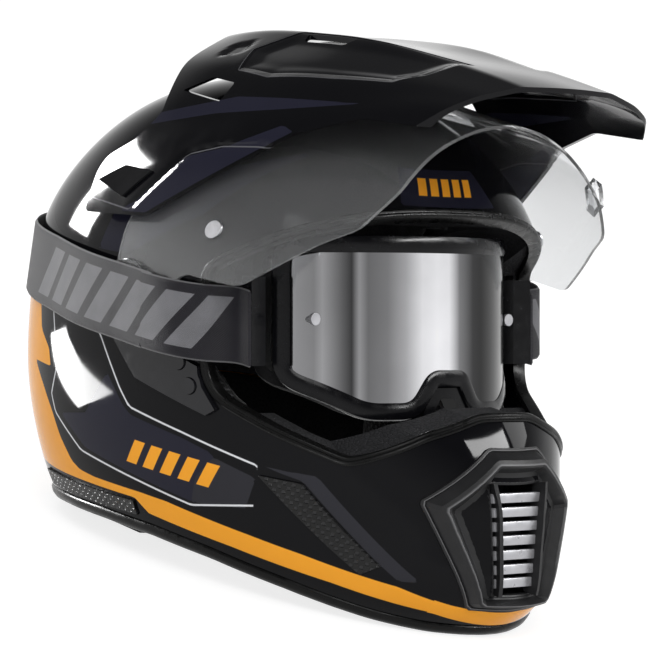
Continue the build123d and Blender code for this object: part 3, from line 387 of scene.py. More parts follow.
def finish_piece(piece, body, slot, finish, node, angle):
    """Give a piece its finish, its body and the node that it stands for."""
    piece.data.materials.clear()
    piece.data.materials.append(FINISH[finish])
    piece.data.polygons.foreach_set("material_index", [0] * len(piece.data.polygons))
    piece.data.shade_smooth()
    piece.data.set_sharp_from_angle(angle=math.radians(angle))
    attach(piece, body)
    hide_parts(node)


def finish_both(piece, base, slot, finish):
    """Finish a left piece of the helmet and its mirror image."""
    pair = (piece, mirrored(piece, base + "_right_look"))
    for one, side in zip(pair, ("left", "right")):
        finish_piece(one, "helmet", slot, finish, f"{base}_{side}", 50.0)
    return pair


def mesh_points(piece):
    points = np.zeros(len(piece.data.vertices) * 3)
    piece.data.vertices.foreach_get("co", points)
    return points.reshape(-1, 3) / MM


def views(piece):
    """Points of a piece, then the same in side view, front view and half plan."""
    points = mesh_points(piece)
    forward = MID_REACH - points[:, 1]
    return (points, np.stack([forward, points[:, 2]], axis=1), points[:, [0, 2]],
            np.stack([np.abs(points[:, 0]), forward], axis=1))


def store(piece, **fields):
    """Keep a number at each point of a piece, for its material."""
    for name, values in fields.items():
        field = piece.data.attributes.new(name, "FLOAT", "POINT")
        field.data.foreach_set("value", np.asarray(np.clip(values, -9, 9), np.float32))


# Node trees and materials
class Nodes:
    """A node tree with short ways to fill it."""

    def __init__(self, tree):
        self.tree = tree

    def add(self, kind, inputs=None, **settings):
        node = self.tree.nodes.new(kind)
        for key, value in settings.items():
            setattr(node, key, value)
        self.put(node, inputs or {})
        return node

    def put(self, node, inputs):
        for key, value in inputs.items():
            if isinstance(value, bpy.types.NodeSocket):
                self.tree.links.new(value, node.inputs[key])
            else:
                node.inputs[key].default_value = value

    def math(self, how, a, b=0.0):
        return self.add("ShaderNodeMath", {0: a, 1: b}, operation=how).outputs[0]

    def spread(self, value, low, high, to_low=0.0, to_high=1.0):
        """A value carried from one range to another."""
        return self.add("ShaderNodeMapRange", {
            "Value": value, "From Min": low, "From Max": high, "To Min": to_low, "To Max": to_high,
        }).outputs["Result"]

    def split(self, way):
        return self.add("ShaderNodeSeparateXYZ", {0: way}).outputs

    def seen_straight(self):
        """Share that is one for what the camera, a mirror or a clear piece sees."""
        rays = self.add("ShaderNodeLightPath").outputs
        either = self.math("MAXIMUM", rays["Is Camera Ray"], rays["Is Glossy Ray"])
        return self.math("MAXIMUM", either, rays["Is Transmission Ray"])


class Finish(Nodes):
    """A material made of nodes, with its shader at hand."""

    def __init__(self, name, color, rough, metallic=0.0, gloss=0.5, **sockets):
        self.material = bpy.data.materials.new(name)
        self.material.use_nodes = True
        super().__init__(self.material.node_tree)
        self.shader = self.tree.nodes["Principled BSDF"]
        self.base = self.color = (*color, 1.0)
        self.put(self.shader, {"Base Color": self.color, "Roughness": rough, "Metallic": metallic})
        self.put(self.shader, {"Specular IOR Level": gloss})
        self.put(self.shader, {key.replace("_", " "): value for key, value in sockets.items()})
        self.place = self.add("ShaderNodeTexCoord").outputs["Object"]

    def mix(self, share, a, b, how="MIX"):
        node = self.add("ShaderNodeMix", data_type="RGBA", blend_type=how)
        self.put(node, {"Factor": share, 6: a, 7: b})
        return node.outputs[2]

    def coat(self, base):
        self.base = base
        self.put(self.shader, {"Base Color": base})
        return self

    def noise(self, size, detail, place=None):
        return self.add("ShaderNodeTexNoise", {
            "Vector": place or self.place, "Scale": 1.0 / (size * MM), "Detail": detail, "Roughness": 0.55,
        }).outputs["Fac"]

    def cells(self, size, feature="F1"):
        inputs = {"Vector": self.place, "Scale": 1.0 / (size * MM)}
        return self.add("ShaderNodeTexVoronoi", inputs, feature=feature).outputs["Distance"]

    def field(self, name):
        return self.add("ShaderNodeAttribute", attribute_name=name).outputs["Fac"]

    def lay(self, share, color):
        """Lay a colour over the finish where the share is one."""
        return self.coat(self.mix(share, self.base, (*color, 1.0)))

    def paint(self, name, color, soft=0.12):
        """Lay a colour where a stored distance is positive."""
        return self.lay(self.spread(self.field(name), -soft, soft), color)

    def edge_stripe_and_highlight(self, name, mask, color, half):
        """A thin line along the edge of a stored field, where the mask is positive: a printed pinstripe on
        the shell, a painted highlight on the peak.
        """
        away = self.math("ABSOLUTE", self.field(name))
        share = self.math("MULTIPLY", self.spread(away, half + 0.15, half - 0.15),
                          self.spread(self.field(mask), -0.2, 0.2))
        return self.lay(share, color)

    def between(self, value, low, high, soft=0.12):
        rise = self.spread(value, low - soft, low + soft)
        return self.math("MULTIPLY", rise, self.spread(value, high + soft, high - soft))

    def slanted_bars(self, along, up, span, heights, pitch, width, slope):
        """Share of a row of plain slanted bars, from two places in mm."""
        leaned = self.math("SUBTRACT", along, self.math("MULTIPLY", up, slope))
        step = self.math("MODULO", self.math("SUBTRACT", leaned, span[0]), pitch)
        inside = self.math("MULTIPLY", self.between(step, 0.2, width), self.between(up, *heights))
        return self.math("MULTIPLY", inside, self.between(leaned, *span))

    def weave(self, ways, pitch):
        """Product of the waves of one pitch along two places in mm."""
        turns = (self.math("MULTIPLY", way, 2 * math.pi / pitch) for way in ways)
        return self.math("MULTIPLY", *(self.math("SINE", turn) for turn in turns))

    def dots(self, pitch):
        """Share of a slanting grid of round pits, laid out in side view."""
        return self.spread(self.weave(self.places()[1:], pitch), 0.05, 0.45)

    def places(self):
        """Side, forward and up places in mm."""
        side, back, up = (self.math("DIVIDE", way, MM) for way in self.split(self.place))
        return side, self.math("SUBTRACT", MID_REACH, back), up

    def shade(self, value):
        """Multiply the colour by a value."""
        return self.coat(self.mix(1.0, self.base, value, "MULTIPLY"))

    def vary(self, size, amount):
        """Let the colour drift a little."""
        low, high = ((1 + change,) * 3 + (1.0,) for change in (-amount, amount))
        return self.shade(self.mix(self.spread(self.noise(size, 4.0), 0.3, 0.7), low, high))

    def wear(self, size, low, high):
        """Let the roughness drift between two values."""
        self.put(self.shader, {"Roughness": self.spread(self.noise(size, 5.0), 0.35, 0.65, low, high)})
        return self

    def bump(self, height, depth):
        """Raise the surface by a height map of a depth in mm."""
        inputs = {"Height": height, "Distance": depth * MM}
        if self.shader.inputs["Normal"].links:
            inputs["Normal"] = self.shader.inputs["Normal"].links[0].from_socket
        self.put(self.shader, {"Normal": self.add("ShaderNodeBump", inputs).outputs["Normal"]})
        return self


ORANGE_PAINT = (0.93, 0.385, 0.028)
NAVY_PAINT = (0.016, 0.016, 0.028)
CHARCOAL_PAINT = (0.026, 0.026, 0.032)
BLACK_PAINT = (0.004, 0.004, 0.005)
WHITE_LINE = (0.72, 0.73, 0.76)


def gloss_paint():
    """Gloss lacquer of the shell, with its painted bands, thin lines and plain slanted bars."""
    look = Finish("shell_lacquer", BLACK_PAINT, 0.05, gloss=0.1)
    look.paint("navy", NAVY_PAINT).paint("charcoal", CHARCOAL_PAINT).paint("orange", ORANGE_PAINT)
    look.edge_stripe_and_highlight("orange", "low_line", BLACK_PAINT, 0.5)
    look.edge_stripe_and_highlight("panel", "panel_line", WHITE_LINE, 0.5)
    side, forward, up = look.places()
    # Bars on both sides of the shell, then the bars on the brow
    for along, bars, away in (
        (forward, ((-9.0, 51.0), (52.5, 65.5), 12.0, 7.6, 0.45), look.math("ABSOLUTE", side)),
        (side, ((-110.4, -72.8), (214.0, 222.0), 8.0, 5.6, 0.42), forward),
    ):
        share = look.math("MULTIPLY", look.slanted_bars(along, up, *bars), look.spread(away, 60.0, 61.0))
        look.lay(share, ORANGE_PAINT)
    look.vary(60.0, 0.05).wear(25.0, 0.03, 0.07)
    return look.bump(look.noise(9.0, 1.0), 0.008).material


def peak_paint():
    """Gloss lacquer of the peak, with painted highlights along the pressed lines of its arms and scoops."""
    look = Finish("peak_lacquer", BLACK_PAINT, 0.06, gloss=0.16)
    # The grey lines along the arm seam and the scoop crease are painted highlights
    look.paint("navy", NAVY_PAINT).edge_stripe_and_highlight("seam", "seam_span", (0.12, 0.12, 0.13), 0.35)
    look.edge_stripe_and_highlight("scoop", "scoop_span", (0.07, 0.07, 0.075), 0.3)
    look.bump(look.spread(look.field("scoop"), 2.5, 0.0), 1.2)
    look.vary(50.0, 0.05).wear(22.0, 0.05, 0.10)
    return look.bump(look.noise(8.0, 1.0), 0.008).material


def moulded(name, color, rough, grain=0.35, depth=0.03, gloss=0.35, metallic=0.0):
    """Moulded plastic or rubber with a fine grain."""
    look = Finish(name, color, rough, metallic, gloss)
    look.vary(18.0, 0.12).wear(6.0, max(rough - 0.08, 0.03), min(rough + 0.08, 1.0))
    return look.bump(look.cells(grain), depth).material


def vent_plastic():
    """Matte plastic with a painted highlight along its raised beads."""
    look = Finish("vent_black", (0.014, 0.014, 0.015), 0.46, gloss=0.25)
    look.vary(18.0, 0.12).wear(6.0, 0.4, 0.52)
    # A pale grey line laid on the beads is a painted highlight
    look.lay(look.spread(look.field("bead"), 0.62, 1.0), (0.16, 0.16, 0.165))
    return look.bump(look.cells(0.5), 0.05).material


def grid_plastic():
    """Moulded black plastic with a grid of round pits."""
    look = Finish("grid_black", (0.014, 0.014, 0.015), 0.42, gloss=0.3)
    pits = look.dots(4.6)
    look.base = look.mix(pits, (0.001, 0.001, 0.001, 1.0), look.color)
    look.vary(20.0, 0.1).wear(8.0, 0.36, 0.5)
    return look.bump(look.math("SUBTRACT", 1.0, pits), 0.5).material


def clear_plastic():
    """Clear polycarbonate."""
    color = (0.93, 0.94, 0.95)
    look = Finish("shield_polycarbonate", color, 0.02, gloss=0.17, Transmission_Weight=0.95, IOR=1.49)
    look.wear(30.0, 0.0, 0.03)
    return look.bump(look.noise(40.0, 1.0), 0.02).material


def foam_beads():
    """Expanded foam, darker along the edges of its beads."""
    look = Finish("expanded_foam", (0.02, 0.02, 0.022), 0.85, gloss=0.2)
    edges = look.cells(2.6, "DISTANCE_TO_EDGE")
    look.base = look.mix(look.spread(edges, 0.0, 0.12), (0.01, 0.01, 0.011, 1.0), look.color)
    look.vary(12.0, 0.15)
    return look.bump(look.spread(edges, 0.0, 0.2), 0.25).material


def knit(name, color, size=1.6, depth=0.35, dark=0.35, pitch=0.0):
    """Brushed knit with small round cells, or spacer mesh with a grid of holes."""
    look = Finish(name, color, 0.9, gloss=0.15, Sheen_Weight=0.25, Sheen_Roughness=0.5)
    holes = look.dots(pitch) if pitch else look.spread(look.cells(size), 0.15, 0.55)
    look.base = look.mix(holes, tuple(c * dark for c in color) + (1.0,), look.color)
    look.vary(20.0, 0.18)
    if pitch:
        look.bump(look.math("SUBTRACT", 1.0, holes), depth)
    return look.bump(look.cells(size), 0.2).material


STRAP_BARS = ((-39.9, 104.7), (-14, 14), 21.6, 15, -0.6)


def woven(name, color, pitch=0.9, depth=0.18, bars=None):
    """Woven band: threads along and across the piece's own map, and slanted bars with a pale edge."""
    look = Finish(name, color, 0.82, gloss=0.2, Sheen_Weight=0.2, Sheen_Roughness=0.4)
    along, across, _ = look.split(look.add("ShaderNodeUVMap").outputs["UV"])
    threads = look.weave((along, across), pitch)
    if bars:
        look.lay(look.slanted_bars(along, across, *bars), (0.20, 0.20, 0.215))
        look.lay(look.spread(look.math("ABSOLUTE", across), 18.9, 19.1), (0.13, 0.13, 0.135))
    look.shade(look.spread(threads, -1.0, 1.0, 0.72, 1.18)).vary(14.0, 0.12)
    return look.bump(threads, depth).material


def brushed():
    """Steel brushed along one way."""
    look = Finish("satin_steel", (0.55, 0.55, 0.57), 0.3, 1.0)
    stretched = look.add("ShaderNodeMapping", {"Vector": look.place, "Scale": (1.0, 12.0, 12.0)}).outputs[0]
    lines = look.noise(3.0, 4.0, stretched)
    look.put(look.shader, {"Roughness": look.spread(lines, 0.3, 0.7, 0.2, 0.42)})
    return look.bump(lines, 0.01).material


# Place across the lens and how bright its painted reflection is there
LENS_PAINTED_REFLECTION_TONES = (
    (0, 0.28), (0.07, 0.22), (0.09, 0.33), (0.14, 0.13), (0.165, 0.05), (0.185, 0.34), (0.21, 0.18),
    (0.27, 0.25), (0.33, 0.47), (0.39, 0.88), (0.45, 0.95), (0.50, 0.86), (0.55, 0.2), (0.62, 0.04),
    (0.67, 0.01), (1, 0.01),
)


def mirror_lens():
    """Silver mirror with a painted reflection: its colour runs from grey to white across the lens."""
    look = Finish("lens_silver_painted_reflection", (0.6, 0.6, 0.62), 0.13, 1.0)
    # The ramp paints the reflection's dark and bright bands into the base colour
    ramp = look.add("ShaderNodeValToRGB", {"Fac": look.spread(look.split(look.place)["X"], -0.08, 0.08)})
    stops = ramp.color_ramp.elements
    for index, (at, value) in enumerate(LENS_PAINTED_REFLECTION_TONES):
        stop = stops[index] if index < 2 else stops.new(at)
        stop.position, stop.color = at, (value, value, value * 1.03, 1.0)
    look.base = ramp.outputs["Color"]
    look.vary(35.0, 0.04).wear(30.0, 0.10, 0.16)
    return look.bump(look.noise(60.0, 1.0), 0.02).material


def make_finishes():
    return {
        "paint": gloss_paint(),
        "peak": peak_paint(),
        "gloss": moulded("gloss_black", (0.008, 0.008, 0.01), 0.12, 4.0, 0.004, 0.35),
        "matte": moulded("matte_black", (0.012, 0.012, 0.013), 0.5, gloss=0.25),
        "vent": vent_plastic(),
        "cap": moulded("cap_black", (0.018, 0.018, 0.019), 0.6, 0.5, 0.03, 0.0),
        "rubber": moulded("edge_rubber", (0.004, 0.004, 0.004), 0.3, 0.9, 0.01, 0.14),
        "grid": grid_plastic(),
        "silver": moulded("satin_silver", (0.42, 0.42, 0.44), 0.35, 0.5, 0.02, 0.5, 0.6),
        "frame": moulded("goggle_black_plastic", (0.004, 0.004, 0.005), 0.2, 1.2, 0.008, 0.16),
        "clear": clear_plastic(),
        "lens": mirror_lens(),
        "beads": foam_beads(),
        "knit": knit("liner_knit", (0.03, 0.03, 0.033)),
        "mesh": knit("pad_spacer_mesh", (0.075, 0.075, 0.08), 1.2, 0.8, 0.06, 5.6),
        "face": knit("face_foam_fleece", (0.016, 0.016, 0.017), 0.8, 0.2, 0.6),
        "strap": woven("strap_weave", (0.018, 0.017, 0.022), bars=STRAP_BARS),
        "webbing": woven("chin_webbing", (0.015, 0.015, 0.016), 1.4, 0.3),
        "steel": brushed(),
    }


# Shell and its edges
RIM_ARCH = ((170, 0), (150.5, 2.2), (110, 9), (69.5, 14.1), (31, 16),
            (-9.6, 14.7), (-50, 11.8), (-85, 7.4), (-110, 0))
RIM_TRIM_HEIGHT = 6.5
RIM_START_UP = 8
RIM_PROFILE = ((-3.2, -4.6), (-3.3, 0.2), (-2.4, 1.3), (0, 1.8), (2.4, 1.3), (3.2, 0.6), (3.2, -4.6))
PORT_PROFILE = (
    (-1.6, 0.2), (-1.5, 0.9), (-0.8, 1.3), (0.1, 0.8), (0.6, 0.8), (1.4, 1.7), (2.3, 1.7), (3.1, 1.1),
    (3.4, 0.2), (3.4, -6), (0.4, -6), (0.3, 0.1),
)
EYEPORT_SIDE = (
    (51.1, 165.1), (60.8, 109.7), (69.5, 99.3), (100.4, 89.8), (139, 80.5),
    (270.2, 51.6), (270.2, 252.8), (106.9, 208), (77.2, 186.3),
)
LIP_FRONT = (
    (0, 111.5), (17.8, 110.9), (45.7, 100.1), (73.7, 82.6), (95.3, 69.7), (165.1, 60.6), (165.1, FAR),
)
VENT_MOUTH = ((19, 82), (14, 24))
EXHAUST_SIDE = (17.7, 58.3)
EXHAUST_UP = (195.7, 214.3)
SHELL_COLUMNS = 330
PORT_POINTS = 520
RIM_POINTS = 420


def rim_line(columns, lift):
    """The rim's line on the shell's form, raised by a length."""
    shares = np.arange(columns) / columns
    arch = np.array(RIM_ARCH)[::-1]
    up = np.full(columns, RIM_START_UP)
    for _ in range(6):
        found = skin_at(shares, np.maximum(up, 0.01))
        up = np.interp(MID_REACH - found[:, 1], arch[:, 0], arch[:, 1]) + lift
    return smooth_round(skin_at(shares, np.maximum(up, 0.01)), 3)


def make_shell():
    """The shell's wall from its rim to its crown, cut for the eyeport, the intake and the exhausts."""
    base = rim_line(SHELL_COLUMNS, RIM_TRIM_HEIGHT + 0.3)
    layers = []
    for grow, count in ((0.0, 150), (-SHELL_WALL, 50)):
        grid = []
        for up, line in zip(base[:, 2], skin_grid(grow, SHELL_COLUMNS, 400).transpose(1, 0, 2)):
            gaps = walked(line)
            start = np.interp(up, line[:, 2], gaps)
            grid.append(places_along(line, gaps, start + (gaps[-1] - start) * np.linspace(0, 1, count)))
        layers.append(np.stack(grid, axis=1))
    shell = grid_piece("shell_body", np.concatenate([layers[0][::-1], layers[1]]), caps=True)
    port = prism(rounded(EYEPORT_SIDE, 8.0), "side", -FAR, FAR)
    carve(port, prism(mirror_outline(LIP_FRONT), "front", 0.0, FAR), "INTERSECT")
    cutters = [port, prism(mirror_outline(VENT_MOUTH), "front", 120.0, FAR)]
    low, high = EXHAUST_UP
    for side in (-1, 1):
        a, b = sorted(side * reach for reach in EXHAUST_SIDE)
        cutters.append(prism([(a, low), (b, low), (b, high), (a, high)], "front", -FAR, -50.0))
    cutter = join(cutters, "cutter")
    # Cut faces get their own material number, which tells the edge lines apart
    for piece in (shell, cutter):
        piece.data.materials.append(None)
        piece.data.materials.append(None)
    cutter.data.polygons.foreach_set("material_index", [1] * len(cutter.data.polygons))
    carve(shell, cutter)
    return shell


def edge_loops(piece):
    """Lines of points where the cut faces meet the outer face, in order."""
    cage = bmesh.new()
    cage.from_mesh(piece.data)
    links = {}
    middle = Vector((0.0, MID_REACH, MIDDLE_UP)) * MM
    for edge in cage.edges:
        kinds = [face.material_index for face in edge.link_faces]
        if sorted(kinds) != [0, 1]:
            continue
        centre = (edge.verts[0].co + edge.verts[1].co) / 2
        if edge.link_faces[kinds.index(0)].normal.dot(centre - middle) < 0:
            continue
        a, b = (vert.index for vert in edge.verts)
        links.setdefault(a, []).append(b)
        links.setdefault(b, []).append(a)
    cage.verts.ensure_lookup_table()
    loops = []
    while links:
        start = here = next(iter(links))
        line = [start]
        while links.get(here):
            after = links[here].pop()
            links[after].remove(here)
            if not links[here]:
                del links[here]
            here = after
            if here == start:
                break
            line.append(here)
        loops.append(np.array([tuple(cage.verts[i].co / MM) for i in line]))
        links = {key: value for key, value in links.items() if value}
    cage.free()
    return loops


def make_port_trim(shell):
    """Rubber edge of the eyeport, along the widest of the shell's cut edges in front."""
    port = max(edge_loops(shell), key=lambda line: np.ptp(line[:, 0]) if line[:, 1].mean() < MID_REACH else 0)
    port = smooth_round(even(port, PORT_POINTS), 10)
    out = skin_normals(port)
    probe = np.cross(np.roll(port, -1, 0) - np.roll(port, 1, 0), out)
    sign = -1 if ((port.mean(axis=0) - port) * probe).sum() < 0 else 1
    return sweep("eyeport_edge", port, out, [(sign * a, b) for a, b in PORT_PROFILE])


def make_rim_trim():
    rim = rim_line(RIM_POINTS, RIM_TRIM_HEIGHT / 2)
    return sweep("rim_edge", rim, skin_normals(rim), RIM_PROFILE)


# Painted fields in side view: forward and up
ORANGE = (
    (230, 5), (230, 13), (192, 15), (182, 18), (165, 24.5), (122, 31), (94, 34),
    (66, 36.5), (43, 38.5), (24, 38.5), (-13, 37), (-26, 37.5), (-34, 40.5), (-45, 51),
    (-54, 63), (-65, 74), (-78, 85), (-57, 86),
    (-61, 96), (-73, 104), (-79, 121), (-90, 150), (-260, 150), (-260, 29),
    (-90, 28), (-64, 29), (20, 33.5), (30, 27.5), (83, 24), (136, 18.5), (175, 12),
    (186, 6.5),
)
PANEL = (
    (-23, 122), (-12, 114), (7, 90), (15, 82), (51, 77.5), (97, 70.5), (98, 50),
    (60, 40.5), (25, 44), (-24, 48.5), (-50, 63), (-55, 72), (-50, 90), (-62, 122),
)
NAVY_SIDE = (
    (-4, 96), (10, 82), (16, 78), (52, 74.5), (70, 71), (92, 47), (60, 42.5),
    (26, 46), (-20, 51), (-44, 64), (-20, 70),
)
NAVY_UPPER = (
    (-26, 158), (-16, 207), (10, 223), (42, 216), (66, 229), (40, 190), (0, 160),
)
CHARCOAL_CHIN = ((98, 71), (125, 72), (173, 28), (165, 27), (119, 68))
CHARCOAL_SIDE = ((60, 42), (92, 47), (96, 64), (72, 69), (62, 56))
# Painted fields in front view: side and up
BROW = ((-34, 209), (34, 209), (26, 226), (-26, 226))
BACK_PANEL = ((-36, 0), (36, 0), (50, 58), (40, 104), (58, 152),
              (-58, 152), (-40, 104), (-50, 58))
PAINTED_SIDE = 40
PANEL_LINE_TOP = 118
PANEL_LINE_FRONT = 96


def paint_shell(shell):
    """Store how far each point of the shell lies inside each painted field."""
    points, side_view, front_view, _ = views(shell)
    ahead = points[:, 1] < MID_REACH
    orange, panel, navy, upper, chin, cheek = (inside_distance(side_view, outline) for outline in (
        ORANGE, PANEL, NAVY_SIDE, NAVY_UPPER, CHARCOAL_CHIN, CHARCOAL_SIDE,
    ))
    brow, back = (inside_distance(front_view, outline) for outline in (BROW, BACK_PANEL))
    wide = np.abs(points[:, 0]) - PAINTED_SIDE
    line_end = np.minimum(PANEL_LINE_TOP - points[:, 2], PANEL_LINE_FRONT - side_view[:, 0])
    store(
        shell, orange=np.where(ahead, orange, np.minimum(orange, -back)),
        navy=np.maximum(np.maximum(navy, upper), np.where(ahead, brow, -9)),
        charcoal=np.maximum(chin, cheek), panel=panel, low_line=wide,
        panel_line=np.minimum(wide, line_end),
    )


# Peak
PEAK_HALF_WIDTH = 128
PEAK_TOP = 288
PEAK_FRONT_REACH = 178
PEAK_WALL = 2.6
# Arches from back to front: share of the forward reach, then shares of half width and height
PEAK_SECTIONS = (
    (-0.56, ((0.00, 0.890), (0.20, 0.885), (0.44, 0.850), (0.66, 0.768), (0.84, 0.660), (0.95, 0.590))),
    (-0.34, ((0.00, 0.930), (0.25, 0.934), (0.52, 0.880), (0.74, 0.790), (0.92, 0.690), (1.01, 0.600))),
    (-0.12, ((0.00, 0.958), (0.27, 0.970), (0.60, 0.898), (0.80, 0.802), (0.95, 0.705), (1.015, 0.610))),
    (0.12, ((0.00, 0.972), (0.27, 0.984), (0.60, 0.917), (0.80, 0.818), (0.945, 0.716), (1.02, 0.620))),
    (0.34, ((0.00, 0.984), (0.27, 0.998), (0.58, 0.935), (0.76, 0.845), (0.88, 0.745), (0.94, 0.640))),
    (0.60, ((0.00, 0.986), (0.26, 0.990), (0.52, 0.948), (0.66, 0.880), (0.76, 0.800), (0.82, 0.700))),
    (0.82, ((0.00, 0.985), (0.25, 0.983), (0.45, 0.957), (0.58, 0.925), (0.65, 0.855), (0.70, 0.775))),
    (1.02, ((0.00, 0.978), (0.25, 0.970), (0.42, 0.950), (0.55, 0.925), (0.62, 0.860), (0.66, 0.790))),
)
PEAK_CREASES = {1: 0.6, 2: 0.35, 3: 0.3}
PEAK_SIDE = (
    (-33.8, 176), (14.2, 183.2), (81.9, 239.6), (117.5, 254.6), (160.2, 258), (176.2, 267.8),
    (178, 316.8), (-56.1, 316.8), (-54.3, 272.2), (-34.7, 252), (-16.9, 233), (-22.3, 218),
    (-37.4, 205.9), (-39.2, 198.7),
)
PEAK_PLAN = (
    (0, 175.3), (25.6, 173.5), (53.8, 169.1), (74.2, 163.4), (96, 124.6), (140.8, 89), (140.8, -106.8),
)
PEAK_SIDE_VENT = ((-16, 245.7), (-0.9, 255.5), (19, 256), (19.9, 245.7))
PEAK_TOP_SLOT = ((37.1, 53.4), (43.5, 49.8), (44.2, 19.6), (37.8, 16))
# Pressed faces of the peak in half plan, and the seam of its arms in side view
PEAK_SCOOP = (
    (35, 8), (34, 60), (22, 128), (54, 126), (67, 116), (75, 80), (82, 38),
    (80, 12), (60, -2),
)
PEAK_REAR_TRAY = ((68, -20), (52, -26), (47, -12), (63, -4))
PEAK_SEAM = np.array(((1, 184), (24, 218), (44, 226), (66, 230), (88, 232)))
PEAK_NAVY_ARM = (
    (-6, 182), (14, 185), (82, 241), (74, 243), (44, 225), (24, 217), (3, 189),
)
PEAK_NAVY_UPPER = (
    (-18, 233), (10, 243), (31, 250.5), (64, 255.5), (112, 261.5), (64, 249.5), (24, 240),
    (-20, 226),
)


# Pressed outline, its depth and the width of its soft edge
PEAK_PRESSES = ((PEAK_SCOOP, 2, 12), (PEAK_REAR_TRAY, 1.6, 2))
SEAM_DEPTH = 1.1
SEAM_HALF = 2
ARM_SIDE = 60
PAINTED_WING = 55
SEAM_HIGHLIGHT_FRONT = 87
SCOOP_HIGHLIGHT_SIDE = 20
PEAK_VENT_SIDE = 38.4
PEAK_LOWEST = 100
PEAK_TOP_LOWEST = 200


def press_peak(peak):
    """Press the scoops, the rear trays and the seam of the arms into the peak's face."""
    points, side_view, _, plan = views(peak)
    for outline, depth, edge in PEAK_PRESSES:
        points[:, 2] -= depth * eased(inside_distance(plan, outline) / edge)
    seam = 1 - edge_distance(side_view, PEAK_SEAM[:-1], PEAK_SEAM[1:]) / SEAM_HALF
    dent = eased(np.where(plan[:, 0] > ARM_SIDE, seam, 0.0))
    points[:, 0] -= np.sign(points[:, 0]) * SEAM_DEPTH * dent
    peak.data.vertices.foreach_set("co", (points * MM).ravel())
    peak.data.update()


def paint_peak(peak):
    points, side_view, _, plan = views(peak)
    wide = plan[:, 0] - PAINTED_WING
    arm, upper = (inside_distance(side_view, outline) for outline in (PEAK_NAVY_ARM, PEAK_NAVY_UPPER))
    seam = even(PEAK_SEAM, 60, False)
    store(
        peak, navy=np.minimum(np.maximum(arm, upper), wide),
        seam=points[:, 2] - np.interp(side_view[:, 0], seam[:, 0], seam[:, 1]),
        # The seam and scoop spans bound where the painted highlight lines lie
        seam_span=np.minimum(wide, SEAM_HIGHLIGHT_FRONT - side_view[:, 0]),
        scoop=inside_distance(plan, PEAK_SCOOP), scoop_span=plan[:, 0] - SCOOP_HIGHLIGHT_SIDE,
    )


def make_peak():
    """The peak's arched wall, pressed, trimmed to its outlines and cut for its vents."""
    grid = []
    for forward, arch in PEAK_SECTIONS:
        half = [(side * PEAK_HALF_WIDTH, up * PEAK_TOP) for side, up in arch]
        ring = [(-side, up) for side, up in reversed(half) if side > 0] + half
        grid.append([(side, MID_REACH - forward * PEAK_FRONT_REACH, up) for side, up in ring])
    columns = len(grid[0])
    peak = grid_piece("peak_body", grid, False)
    layer = peak.data.attributes.new("crease_edge", "FLOAT", "EDGE")
    for edge in peak.data.edges:
        a, b = (end % columns for end in edge.vertices)
        if a == b:
            layer.data[edge.index].value = PEAK_CREASES.get(abs(a - columns // 2), 0.0)
    modify(peak, "SUBSURF", levels=4, render_levels=4)
    press_peak(peak)
    modify(peak, "SOLIDIFY", thickness=PEAK_WALL * MM, offset=-1.0, use_even_offset=True)
    face_out(peak)
    carve(peak, prism(rounded(PEAK_SIDE, 4.0), "side", -FAR, FAR), "INTERSECT")
    carve(peak, prism(rounded(mirror_outline(PEAK_PLAN), 8.0), "plan", PEAK_LOWEST, FAR + 50), "INTERSECT")
    cutters = []
    for side in (-1, 1):
        span = sorted((side * PEAK_VENT_SIDE, side * FAR))
        cutters.append(prism(rounded(PEAK_SIDE_VENT, 1.5), "side", *span))
        slot = rounded([(side * a, b) for a, b in PEAK_TOP_SLOT], 2.0)
        cutters.append(prism(slot, "plan", PEAK_TOP_LOWEST, FAR))
    carve(peak, join(cutters, "vents"))
    paint_peak(peak)
    return peak


# Face shield, drawn closed and then raised
PIVOT = (11.5, 140)
SHIELD_OPEN = math.radians(56)
SHIELD_STAND_OFF = 5
SHIELD_WALL = 2
SHIELD_SIDE = (
    (11.6, 123.3), (47.3, 122.3), (67.9, 93.1), (111.9, 81.3), (129.3, 74.3), (150, 79.7), (166.9, 93.9),
    (182.4, 103.7), (212.3, 114.6), (212.3, 214.1), (118.1, 212.1), (105, 205.1), (89.9, 197.4),
    (75.1, 189.9), (60, 184.5), (45, 178), (29.9, 171.6), (11.6, 156.1),
)
SHIELD_ROWS = (0.20, 0.33, 0.47, 0.60, 0.72, 0.86)
HUB_LOW = 131.8
HUB_HIGH = 134
HUB_RADIUS = 20
HUB_ROOM = 17.6
HUB_SKIRT = (128.4, 132.4)
HUB_INSIDE = 127
# Where the room for the screw's shank and for its head starts, and its radius
SCREW_ROOM = ((120, 4.3), (132.5, 7.3))
SCREW_END = 140


def front_band(name, columns=150, rows=70):
    """A curved wall in front of the shell's form."""
    turns = [math.pi * (i / (columns - 1) - 0.5) for i in range(columns)]
    outer, inner = (through([
        [(*section_point(turn, *row_sizes(share, grow)), share * SHELL_HEIGHT) for turn in turns]
        for share in SHIELD_ROWS
    ], rows) for grow in (SHIELD_STAND_OFF + SHIELD_WALL, SHIELD_STAND_OFF))
    return grid_piece(name, np.concatenate([outer, inner[:, ::-1]], axis=1), caps=True)


def hub_disc(low, high, radius, steps=48, bevel=0.0):
    """A round disc across the shield's pivot, with a bevelled outer edge."""
    rings = [(low, radius), (high, radius)]
    if bevel:
        rings[1:] = [(high - math.copysign(bevel, high), radius), (high, radius - bevel)]
    forward, up = PIVOT
    angles = np.arange(steps) * 2 * math.pi / steps
    return grid_piece("disc", [
        [(side, MID_REACH - forward + size * math.cos(a), up + size * math.sin(a)) for a in angles]
        for side, size in rings
    ], caps=True)


